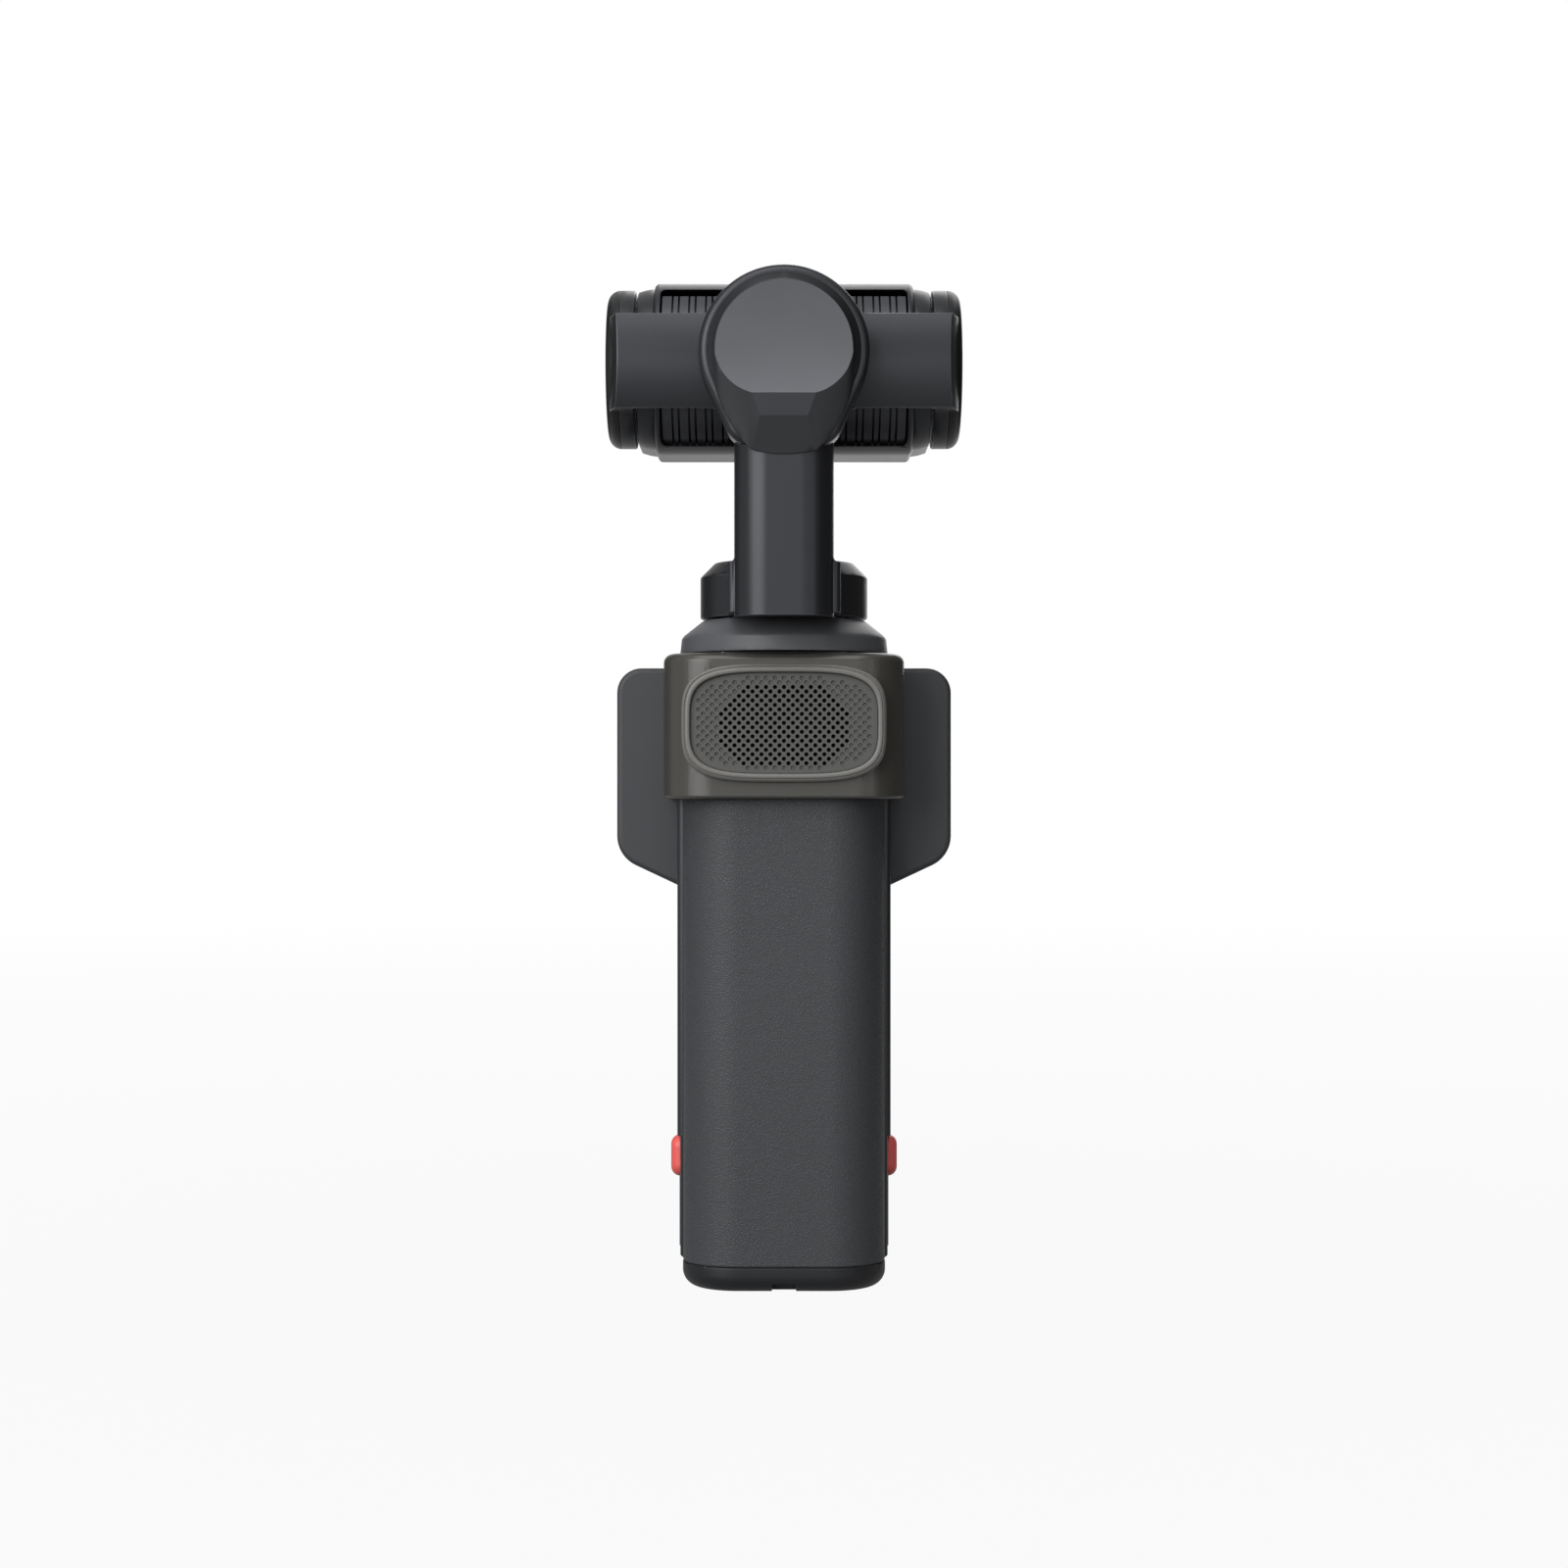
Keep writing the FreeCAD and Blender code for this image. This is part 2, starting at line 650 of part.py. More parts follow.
def make_back_cover():
    body = new_body("back_cover")
    pad(body, "XY", base_height, flange_bottom,
        rectangle(-cover_half_width, cover_half_width, frame_rear, cover_rear))
    treat_edges(body, "Fillet", cover_corner,
                lambda edge: runs_along(edge, up) and near(centre_of(edge).y, cover_rear))
    inside = cover_half_width - cover_wall
    end = cover_rear - cover_wall
    pocket(body, "XY", base_height, flange_bottom,
           rounded(-inside, inside, frame_rear - cover_depth, end, cover_corner - cover_wall))
    for side in (-1, 1):
        pocket(body, "XZ", end, cover_rear,
               circle(side * microphone_place, grille_height, sound_hole_radius))


def make_bottom_cap():
    body = new_body("bottom_cap")
    half_width = handle_half_width - base_step
    pad(body, "XY", 0, base_height, rectangle(-half_width, half_width, -module_front, cover_rear))
    treat_edges(body, "Fillet", cover_corner,
                lambda edge: runs_along(edge, up) and near(centre_of(edge).y, cover_rear))
    treat_edges(body, "Fillet", module_rounding * 2,
                lambda edge: runs_along(edge, up) and near(centre_of(edge).y, -module_front))
    treat_edges(body, "Fillet", base_rounding, lambda edge: near(edge.BoundBox.ZMax, 0))
    pocket(body, "XY", 0, base_height, circle(0, 0, insert_radius))
    pocket(body, "XY", 0, base_height,
           rounded(-port_half_width, port_half_width, port_place - port_half_height,
                   port_place + port_half_height, port_half_height * slot_roundness))
    for side in (-1, 1):
        pocket(body, "XY", 0, base_height, circle(side * screw_place, -screw_setback, screw_radius))
        pocket(body, "XY", 0, screw_head_height * 2,
               circle(side * screw_place, -screw_setback, screw_head_radius))
    well_rear = cover_rear - strap_slot_height
    well_front = well_rear - strap_well_depth
    pocket(body, "XY", 0, strap_slot_height,
           rectangle(-strap_slot_half_width, strap_slot_half_width, well_front,
                     cover_rear + overshoot))
    pocket(body, "XY", 0, strap_well_height,
           rectangle(-strap_slot_half_width, strap_slot_half_width, well_front, well_rear))
    pin_end = strap_slot_half_width + strap_pin_seat
    pocket(body, "YZ", -pin_end, pin_end, circle(*strap_pin_centre(), strap_pin_radius))


def strap_pin_centre():
    return (cover_rear - strap_slot_height - strap_well_depth / 2, strap_pin_rise)


def make_strap_pin():
    body = new_body("strap_pin")
    pin_end = strap_slot_half_width + strap_pin_seat
    pad(body, "YZ", -pin_end, pin_end, circle(*strap_pin_centre(), strap_pin_radius))


def make_tripod_insert():
    body = new_body("tripod_insert")
    top = thread_length + insert_roof
    turned(body, (thread_radius, 0), (insert_radius, 0), (insert_radius, top), (0, top),
           (0, thread_length), (thread_radius, thread_length))


def make_usb_c_port():
    body = new_body("usb_c_port")
    low = port_place - port_half_height
    high = port_place + port_half_height
    top = port_recess + port_length
    pad(body, "XY", port_recess, top,
        rounded(-port_half_width, port_half_width, low, high, port_half_height * slot_roundness))
    inside = port_half_width - port_wall
    pocket(body, "XY", port_recess, top - port_floor,
           rounded(-inside, inside, low + port_wall, high - port_wall,
                   (port_half_height - port_wall) * slot_roundness))
    pad(body, "XY", port_recess + tongue_recess, top - port_floor / 2,
        rectangle(-tongue_half_width, tongue_half_width, port_place - port_wall, port_place + port_wall))


def make_cap_screws():
    body = new_body("cap_screws")
    for side in (-1, 1):
        pad(body, "XY", screw_head_height, screw_head_height * 2,
            circle(side * screw_place, -screw_setback, screw_head_radius))
        pad(body, "XY", screw_head_height * 2,
            base_height + screw_length - boss_roof - screw_end_gap,
            circle(side * screw_place, -screw_setback, screw_radius))


def make_handle_battery():
    body = new_body("handle_battery")
    front = -(frame_front - frame_wall - rest_gap)
    half_width = cover_half_width - cover_wall - battery_margin
    pad(body, "XY", battery_bottom, battery_bottom + battery_length,
        rounded(-half_width, half_width, front, front + battery_depth, frame_corner))


def board_front():
    return -(frame_front - frame_wall - rest_gap) + battery_depth + rest_gap


def make_main_board():
    body = new_body("main_board")
    half_width = cover_half_width - cover_wall - board_margin
    pad(body, "XY", port_recess + port_length, flange_bottom - board_top_gap,
        rectangle(-half_width, half_width, board_front(), board_front() + board_thickness))


def make_microphones():
    body = new_body("microphones")
    end = cover_rear - cover_wall
    for side in (-1, 1):
        pad(body, "XZ", end - microphone_depth, end,
            circle(side * microphone_place, grille_height, microphone_radius))


def make_dock_contacts():
    body = new_body("dock_contacts")
    inner = -(frame_front - frame_wall)
    half = contact_radius + contact_board_margin
    edge = contact_spacing * 2 + half
    pad(body, "XZ", inner, inner + board_thickness,
        rectangle(-edge, edge, contact_height - half, contact_height + half))
    for place in contact_places():
        pad(body, "XZ", -frame_front, inner, circle(place, contact_height, contact_radius))


# Release latches

def make_latch_bracket():
    body = new_body("latch_bracket")
    front = -(frame_front - frame_wall)
    half = latch_half_length + latch_flange_margin
    pad(body, "XY", latch_height - half, latch_height + half,
        rectangle(-latch_bracket_half_width, latch_bracket_half_width, front,
                  latch_middle() + spring_radius + latch_bracket_margin))


def make_latch_button(name, side):
    body = new_body("latch_button_" + name)
    middle = latch_middle()
    flange_outer = frame_inside - slide_gap
    flange_inner = flange_outer - latch_flange
    tip = handle_half_width + latch_proud
    margin = latch_flange_margin
    tab = rounded(middle - latch_half_depth, middle + latch_half_depth,
                  latch_height - latch_half_length, latch_height + latch_half_length,
                  latch_half_depth * slot_roundness)
    flange = rectangle(middle - latch_half_depth - margin, middle + latch_half_depth + margin,
                       latch_height - latch_half_length - margin,
                       latch_height + latch_half_length + margin)
    pad(body, "YZ", *in_order(side * flange_outer, side * tip), tab)
    treat_edges(body, "Fillet", latch_rounding,
                lambda edge: near(abs(edge.BoundBox.XMin), tip) and near(abs(edge.BoundBox.XMax), tip))
    pad(body, "YZ", *in_order(side * flange_inner, side * flange_outer), flange)
    nose_outer = flange_outer
    nose_inner = flange_outer - latch_nose_thickness
    nose_tip = -(module_rear + latch_nose_reach)
    nose_root = middle - latch_half_depth
    left, right = in_order(side * nose_inner, side * nose_outer)
    pad(body, "XZ", nose_tip, nose_root,
        rectangle(left, right, latch_height - latch_nose_half_length,
                  latch_height + latch_nose_half_length))


def in_order(first, second):
    return (first, second) if number(first) < number(second) else (second, first)


def make_latch_spring(name, side):
    start = number(latch_bracket_half_width)
    end = number(frame_inside - slide_gap - latch_flange)
    wire = number(spring_wire_radius)
    radius = number(spring_radius)
    length = end - start - 2 * wire
    turns = int(number(spring_turns))
    helix = Part.makeHelix(length / turns, length, radius)
    sides = int(number(spring_wire_sides))
    angles = [2 * math.pi * side / sides for side in range(sides + 1)]
    section = Part.makePolygon([FreeCAD.Vector(radius + wire * math.cos(angle), 0, wire * math.sin(angle))
                                for angle in angles])
    coil = Part.Wire(helix.Edges).makePipeShell([section], True, True)
    item = doc.addObject("Part::Feature", "latch_spring_" + name)
    item.Label = "latch_spring_" + name
    item.Shape = coil
    turn = FreeCAD.Rotation(FreeCAD.Vector(0, 1, 0), 90 * side)
    place = FreeCAD.Vector(side * (start + wire), number(latch_middle()), number(latch_height))
    item.Placement = FreeCAD.Placement(place, turn)
    nodes.append(item)


# Control module

def module_outline(wall):
    inside = as_size(handle_half_width) - wall
    wing = wing_half_width - wall
    bottom = base_height + guard_gap + wall
    return polygon((inside, bottom), (inside, wing_foot + wall), (wing, wing_bottom + wall),
                   (wing, wing_top - wall), (-wing, wing_top - wall), (-wing, wing_bottom + wall),
                   (-inside, wing_foot + wall), (-inside, bottom))


def round_module_corners(body):
    depth = FreeCAD.Vector(0, 1, 0)
    treat_edges(body, "Fillet", wing_top_corner,
                lambda edge: runs_along(edge, depth) and near(centre_of(edge).z, wing_top))
    treat_edges(body, "Fillet", wing_low_corner,
                lambda edge: runs_along(edge, depth) and near(centre_of(edge).z, wing_bottom))
    treat_edges(body, "Fillet", wing_foot_corner,
                lambda edge: runs_along(edge, depth) and near(centre_of(edge).z, wing_foot))


def make_module_housing():
    body = new_body("module_housing")
    pad(body, "XZ", -face_rear, -module_rear, module_outline(0))
    round_module_corners(body)
    treat_edges(body, "Fillet", module_rounding,
                lambda edge: near(edge.BoundBox.YMin, -module_rear))
    pocket(body, "XZ", -face_rear, -(module_rear + module_back), module_outline(module_wall))
    for side in (-1, 1):
        outer = side * frame_inside
        inner = side * nose_inside_at_travel()
        left, right = in_order(outer, inner)
        half = latch_nose_half_length + slot_gap
        pocket(body, "XZ", -(module_rear + module_back), -module_rear,
               rectangle(left, right, latch_height - half, latch_height + half))
    for place in contact_places():
        pocket(body, "XZ", -(module_rear + module_back), -module_rear,
               circle(place, contact_height, contact_radius))


def make_module_face():
    body = new_body("module_face")
    pad(body, "XZ", -module_front, -face_rear, module_outline(0))
    round_module_corners(body)
    treat_edges(body, "Fillet", module_rounding,
                lambda edge: near(edge.BoundBox.YMax, -module_front))
    pocket(body, "XZ", -module_front, -face_rear, glass_outline(lens_gap))
    pocket(body, "XZ", -module_front, -face_rear, circle(0, stick_height, stick_hole_radius))
    pocket(body, "XZ", -module_front, -face_rear, circle(0, record_height, record_radius + button_gap))
    pocket(body, "XZ", -module_front, -face_rear, function_outline(button_gap))


def glass_outline(margin):
    across = glass_half_width + margin
    rise = glass_height / 2 + margin
    return rounded(-across, across, glass_centre - rise, glass_centre + rise, glass_corner)


def function_outline(margin):
    across = function_half_width + margin
    rise = function_half_height + margin
    return rounded(-across, across, function_height - rise, function_height + rise,
                   rise * slot_roundness)


def make_screen_glass():
    body = new_body("screen_glass")
    pad(body, "XZ", -(module_front - lens_gap), -face_rear, glass_outline(0))


def make_display_panel():
    body = new_body("display_panel")
    across = glass_half_width - display_side_margin
    rise = glass_height / 2 - display_end_margin
    pad(body, "XZ", -face_rear, -(face_rear - display_thickness),
        rectangle(-across, across, glass_centre - rise, glass_centre + rise))


def make_module_battery():
    body = new_body("module_battery")
    front = face_rear - display_thickness - rest_gap
    rear = module_rear + module_back + rest_gap
    across = glass_half_width - module_battery_side_margin
    rise = glass_height / 2 - module_battery_end_margin
    pad(body, "XZ", -front, -rear,
        rectangle(-across, across, glass_centre - rise, glass_centre + rise))


def module_board_rear():
    return module_rear + module_back + rest_gap


def module_board_front():
    return module_board_rear() + board_thickness


def make_module_board():
    body = new_body("module_board")
    across = frame_inside - module_board_margin
    pad(body, "XZ", -module_board_front(), -module_board_rear(),
        rectangle(-across, across, module_board_bottom, wing_foot - module_board_top_margin))


def make_module_contacts():
    body = new_body("module_contacts")
    for place in contact_places():
        pad(body, "XZ", -module_board_rear(), -module_rear,
            circle(place, contact_height, contact_radius))


def button_flange_front():
    return face_rear - slide_gap


def make_button_switches():
    body = new_body("button_switches")
    top = button_flange_front() - button_flange - button_travel - rest_gap
    for height in (record_height, function_height):
        pad(body, "XZ", -top, -module_board_front(), circle(0, height, switch_radius))


def make_button(name, height, face, flange):
    body = new_body(name)
    pad(body, "XZ", -(module_front + button_proud), -button_flange_front(), face)
    treat_edges(body, "Fillet", button_rounding,
                lambda edge: near(edge.BoundBox.YMax, -(module_front + button_proud)))
    pad(body, "XZ", -button_flange_front(), -(button_flange_front() - button_flange), flange)


def make_module_buttons():
    make_button("record_button", record_height, circle(0, record_height, record_radius),
                circle(0, record_height, record_radius + button_flange_margin))
    make_button("function_button", function_height, function_outline(0),
                function_outline(button_flange_margin))


def stick_pivot_depth():
    return module_board_front() + stick_base_height - pivot_drop


def make_joystick():
    base = new_body("joystick_base")
    inner = stick_ring_radius + rotor_gap
    pad(base, "XZ", -(module_board_front() + stick_base_height), -module_board_front(),
        circle(0, stick_height, stick_base_radius), circle(0, stick_height, inner))
    ring = new_body("joystick_pivot")
    pivot = stick_pivot_depth()
    half = pivot_half_thickness
    hole = stick_stem_radius + pivot_play
    pad(ring, "XZ", -(pivot + half), -(pivot - half),
        circle(0, stick_height, stick_ring_radius), circle(0, stick_height, hole))
    cap = new_body("joystick_cap")
    cap_front = module_front + stick_proud
    cap_rear = cap_front - stick_cap_thickness
    pad(cap, "XZ", -cap_rear, -(pivot - half), circle(0, stick_height, stick_stem_radius))
    pad(cap, "XZ", -cap_front, -cap_rear, circle(0, stick_height, stick_cap_radius))
    treat_edges(cap, "Fillet", stick_rounding,
                lambda edge: near(edge.BoundBox.YMax, -cap_front))
    pocket(cap, "XZ", -cap_front, -(cap_front - stick_dish_depth),
           circle(0, stick_height, stick_dish_radius))


# Wind guard

def grille_outline(inset):
    across = grille_half_width - inset
    rise = grille_half_height - inset
    return rounded(-across, across, grille_height - rise, grille_height + rise, grille_corner - inset)


def make_wind_guard():
    body = new_body("wind_guard")
    bottom = guard_top - guard_height
    inner = handle_half_width + guard_gap
    outer = inner + guard_wall
    inner_rear = cover_rear + guard_gap
    front = -(frame_front - guard_front_step)
    pad(body, "XY", bottom, guard_top, rectangle(-outer, outer, front, guard_rear))
    treat_edges(body, "Fillet", guard_corner,
                lambda edge: runs_along(edge, up) and near(centre_of(edge).y, guard_rear))
    treat_edges(body, "Fillet", guard_rounding, lambda edge: near(edge.BoundBox.ZMax, bottom)
                and centre_of(edge).y > number(front) + 0.02)
    treat_edges(body, "Fillet", guard_shoulder, lambda edge: near(edge.BoundBox.ZMin, guard_top)
                and centre_of(edge).y > number(front) + 0.02)
    pocket(body, "XY", bottom, guard_top,
           rounded(-inner, inner, front - inner_rear, inner_rear, guard_inner_corner))
    pocket(body, "XZ", inner_rear, guard_rear + overshoot, grille_outline(rim_width))


def make_grille_rim():
    body = new_body("grille_rim")
    pad(body, "XZ", guard_rear, guard_rear + rim_height, grille_outline(0), grille_outline(rim_width))
    treat_edges(body, "Fillet", rim_rounding,
                lambda edge: near(edge.BoundBox.YMin, guard_rear + rim_height))


def mesh_holes():
    spacing = number(mesh_spacing)
    half_width = number(mesh_zone_half_width)
    half_height = number(mesh_zone_half_height)
    corner = number(mesh_zone_corner)
    places = []
    row_count = int(half_height / (spacing / 2))
    column_count = int(half_width / spacing) + 1
    for row in range(-row_count, row_count + 1):
        shift = 0.5 if row % 2 else 0.0
        for column in range(-column_count, column_count + 1):
            across = (column + shift) * spacing
            rise = row * spacing / 2
            inside = abs(across) <= half_width and abs(rise) <= half_height
            if inside and abs(across) + abs(rise) <= half_width + half_height - corner:
                places.append((across, rise))
    return places


def make_grille_mesh():
    across = number(grille_half_width - rim_width - mesh_gap)
    rise = number(grille_half_height - rim_width - mesh_gap)
    rear = number(guard_rear + mesh_thickness + rest_gap)
    sheet_metal = Part.makePlane(2 * across, 2 * rise)
    outline = sheet_metal.OuterWire
    holes = []
    for hole_across, hole_rise in mesh_holes():
        centre = FreeCAD.Vector(hole_across + across, hole_rise + rise, 0)
        holes.append(Part.Wire(Part.makeCircle(number(mesh_hole_radius), centre, up)))
    face = Part.makeFace([outline] + holes, "Part::FaceMakerBullseye")
    plate = face.extrude(FreeCAD.Vector(0, 0, number(mesh_thickness)))
    corners = [edge for edge in plate.Edges if runs_along(edge, up)]
    plate = plate.makeFillet(number(grille_corner - rim_width - mesh_gap), corners)
    item = doc.addObject("Part::Feature", "grille_mesh")
    item.Label = "grille_mesh"
    item.Shape = plate
    turn = FreeCAD.Rotation(FreeCAD.Vector(1, 0, 0), 90)
    place = FreeCAD.Vector(-across, rear, number(grille_height) - rise)
    item.Placement = FreeCAD.Placement(place, turn)
    nodes.append(item)


def make_wind_foam():
    body = new_body("wind_foam")
    pad(body, "XZ", cover_rear + guard_gap, guard_rear + rest_gap, grille_outline(rim_width + rest_gap))


# Neck and pan motor

def make_neck_ring():
    body = new_body("neck_ring")
    turned(body, (neck_bore, frame_top), (neck_radius, frame_top),
           (neck_radius - neck_draft, frame_top + neck_band),
           (neck_shoulder_radius, frame_top + neck_band + neck_edge),
           (neck_top_radius, neck_top), (neck_bore, neck_top))


def make_pan_motor():
    stator = new_body("pan_stator")
    bearing_bottom = pan_bottom - bearing_drop
    bearing_top = bearing_bottom + bearing_length
    top = bearing_top + rest_gap
    coil_bottom = pan_bottom + rotor_gap
    turned(stator, (0, frame_top), (stator_foot_radius, frame_top),
           (stator_foot_radius, frame_top + stator_foot), (stator_neck_radius, frame_top + stator_foot),
           (stator_neck_radius, coil_bottom), (stator_radius, coil_bottom),
           (stator_radius, top), (bearing_radius, top), (bearing_radius, bearing_bottom),
           (shaft_radius + bearing_lip, bearing_bottom),
           (shaft_radius + bearing_lip, bearing_bottom - stator_floor),
           (0, bearing_bottom - stator_floor))
    bearing = new_body("pan_bearing")
    inner = shaft_radius + running_gap
    turned(bearing, (inner, bearing_bottom), (bearing_radius, bearing_bottom),
           (bearing_radius, bearing_top), (inner, bearing_top))
    rotor = new_body("pan_rotor")
    roof = pan_top - pan_roof
    skirt_inner = stator_radius + rotor_gap
    skirt_outer = skirt_inner + rotor_wall
    turned(rotor, (0, bearing_bottom - shaft_end), (shaft_radius, bearing_bottom - shaft_end),
           (shaft_radius, roof - rotor_plate), (skirt_inner, roof - rotor_plate),
           (skirt_inner, coil_bottom), (skirt_outer, coil_bottom), (skirt_outer, roof), (0, roof))


# Arm

def taper_outline(radius, half_width, angle):
    # The two sides leave the round can along its tangents and close in to the column
    sine = Size(math.sin(math.radians(angle.number)), "sin(%s)" % angle.formula)
    cosine = Size(math.cos(math.radians(angle.number)), "cos(%s)" % angle.formula)
    across = radius * cosine
    drop = radius * sine
    end_drop = drop + (across - half_width) * cosine / sine
    return [(across, axis_height - drop), (half_width, axis_height - end_drop)]


def make_arm_frame():
    body = new_body("arm_frame")
    depth = FreeCAD.Vector(0, 1, 0)
    start, end = taper_outline(can_radius, column_half_width, taper_angle)
    mirrored = [(-start[0], start[1]), (-end[0], end[1])]
    pad(body, "XZ", can_front, can_rear, polygon(start, end, mirrored[1], mirrored[0]))
    treat_edges(body, "Fillet", taper_corner,
                lambda edge: runs_along(edge, depth) and near(centre_of(edge).z, end[1]))
    pad(body, "XZ", can_front, can_rear, circle(0, axis_height, can_radius))
    treat_edges(body, "Fillet", can_rounding, lambda edge: near(edge.BoundBox.YMin, can_rear))
    pad(body, "XY", pan_bottom, pan_top, circle(0, 0, pan_radius))
    treat_edges(body, "Chamfer", pan_chamfer, lambda edge: near(edge.BoundBox.ZMin, pan_top)
                and near(edge.BoundBox.ZMax, pan_top))
    bridge_half_width = column_half_width + bridge_margin
    bridge_top = pan_top - bridge_step
    pad(body, "XY", pan_bottom, bridge_top,
        rectangle(-bridge_half_width, bridge_half_width, 0, column_front + bridge_overlap))
    pad(body, "XY", column_bottom, end[1] + column_overlap,
        rounded(-column_half_width, column_half_width, column_front, column_rear, column_corner, 0))
    treat_edges(body, "Fillet", bridge_fillet,
                lambda edge: near(edge.BoundBox.ZMin, bridge_top) and near(edge.BoundBox.ZMax, bridge_top)
                and abs(centre_of(edge).x) < number(column_half_width) + 0.02
                and centre_of(edge).y > number(column_front) - 0.02)
    treat_edges(body, "Fillet", bridge_corner,
                lambda edge: runs_along(edge, up) and near(abs(centre_of(edge).x), bridge_half_width)
                and centre_of(edge).y > number(column_front))
    inside = can_radius - can_rim
    pocket(body, "XZ", can_front + can_floor, can_rear, circle(0, axis_height, inside))
    pocket(body, "XZ", can_front, can_front + can_floor,
           circle(0, axis_height, boss_radius + running_gap))
    hollow = column_half_width - column_wall
    hollow_front = column_front + channel_front_wall
    hollow_rear = column_rear - channel_rear_wall
    roof = pan_top - pan_roof
    pocket(body, "XY", pan_bottom, roof, circle(0, 0, pan_radius - pan_wall))
    channel_bottom = pan_bottom + can_wall
    channel_top = roof - can_wall
    pocket(body, "XY", channel_bottom, channel_top, rectangle(-hollow, hollow, 0, hollow_rear))
    pocket(body, "XY", channel_bottom, axis_height - inside + overshoot,
           rectangle(-hollow, hollow, hollow_front, hollow_rear))


def make_arm_flex_cable():
    body = new_body("arm_flex_cable")
    front = column_front + channel_front_wall + rest_gap
    pad(body, "XY", pan_bottom + can_wall + rest_gap, axis_height - can_radius + can_rim,
        rectangle(-cable_half_width, cable_half_width, front, front + cable_thickness))


def make_roll_stator():
    body = new_body("roll_stator")
    outer = can_radius - can_rim
    inner = outer - roll_coil_width
    pad(body, "XZ", can_front + can_floor, can_front + can_floor + roll_coil_depth,
        circle(0, axis_height, outer), circle(0, axis_height, inner))


def make_roll_cover():
    # A round plate with a flat face, which runs down into two facets and a rounded end
    axis = number(axis_height)
    rear = number(can_rear)
    base = rear + number(cover_base)
    face = rear + number(cover_height)
    shrunk = number(can_radius - cover_margin)
    angle = math.radians(number(taper_angle))
    edge_place = (shrunk * math.cos(angle), -shrunk * math.sin(angle))
    tip_rise = -number(cover_end_drop)
    tip_bow = number(cover_end_bow)
    end_half = number(cover_end_half_width)
    disc = number(disc_radius)
    chord = -number(disc_chord)
    chord_half = number(disc_chord_half_width)
    shoulder_drop = number(disc_shoulder_drop)
    widest = (math.sqrt(disc * disc - shoulder_drop * shoulder_drop), -shoulder_drop)
    disc_bow = (number(disc_bulge), -number(disc_bulge))
    cover_bow = (number(cover_bulge), -number(cover_bulge_drop))

    def place(across, rise, depth):
        return FreeCAD.Vector(across, depth, axis + rise)

    def outline(radius, shoulder, low, depth, bulge, bow):
        right = place(shoulder[0], shoulder[1], depth)
        left = place(-shoulder[0], shoulder[1], depth)
        low_right = place(low[0], low[1], depth)
        low_left = place(-low[0], low[1], depth)
        over = Part.Arc(right, place(0, radius, depth), left).toShape()
        middle = place((shoulder[0] + low[0]) / 2 + bulge[0], (shoulder[1] + low[1]) / 2 + bulge[1], depth)
        other = FreeCAD.Vector(-middle.x, middle.y, middle.z)
        down = Part.Arc(left, other, low_left).toShape()
        lowest = place(0, low[1] - bow, depth)
        if bow:
            across = Part.Arc(low_left, lowest, low_right).toShape()
        else:
            across = Part.makeLine(low_left, low_right)
        back = Part.Arc(low_right, middle, right).toShape()
        return Part.Wire([over, down, across, back])

    top = outline(disc, widest, (chord_half, chord), face, disc_bow, 0)
    foot = outline(shrunk, edge_place, (end_half, tip_rise), base, cover_bow, tip_bow)
    plate = Part.makeLoft([foot, top], True, True)
    rim = Part.Face(foot).extrude(FreeCAD.Vector(0, rear - base, 0))
    facet_rise = chord - number(facet_length)
    facet_half = number(facet_half_width)
    facet_face = face - number(facet_drop)
    corners = {
        "chord": [place(-chord_half, chord, face), place(chord_half, chord, face)],
        "facet": [place(-facet_half, facet_rise, facet_face), place(facet_half, facet_rise, facet_face)],
        "tip": [place(-end_half, tip_rise, base), place(end_half, tip_rise, base)],
    }
    chord_left, chord_right = corners["chord"]
    facet_left, facet_right = corners["facet"]
    tip_left, tip_right = corners["tip"]
    faces = [Part.Face(Part.makePolygon(ring + ring[:1])) for ring in (
        [chord_left, chord_right, facet_right, facet_left],
        [facet_left, facet_right, tip_right, tip_left],
        [chord_left, facet_left, tip_left],
        [chord_right, tip_right, facet_right],
        [chord_left, tip_left, tip_right, chord_right])]
    wedge = Part.Solid(Part.Shell(faces))
    if wedge.Volume < 0:
        wedge.reverse()
    item = doc.addObject("Part::Feature", "roll_cover")
    item.Label = "roll_cover"
    item.Shape = rim.fuse([plate, wedge]).removeSplitter()
    nodes.append(item)


# Yoke

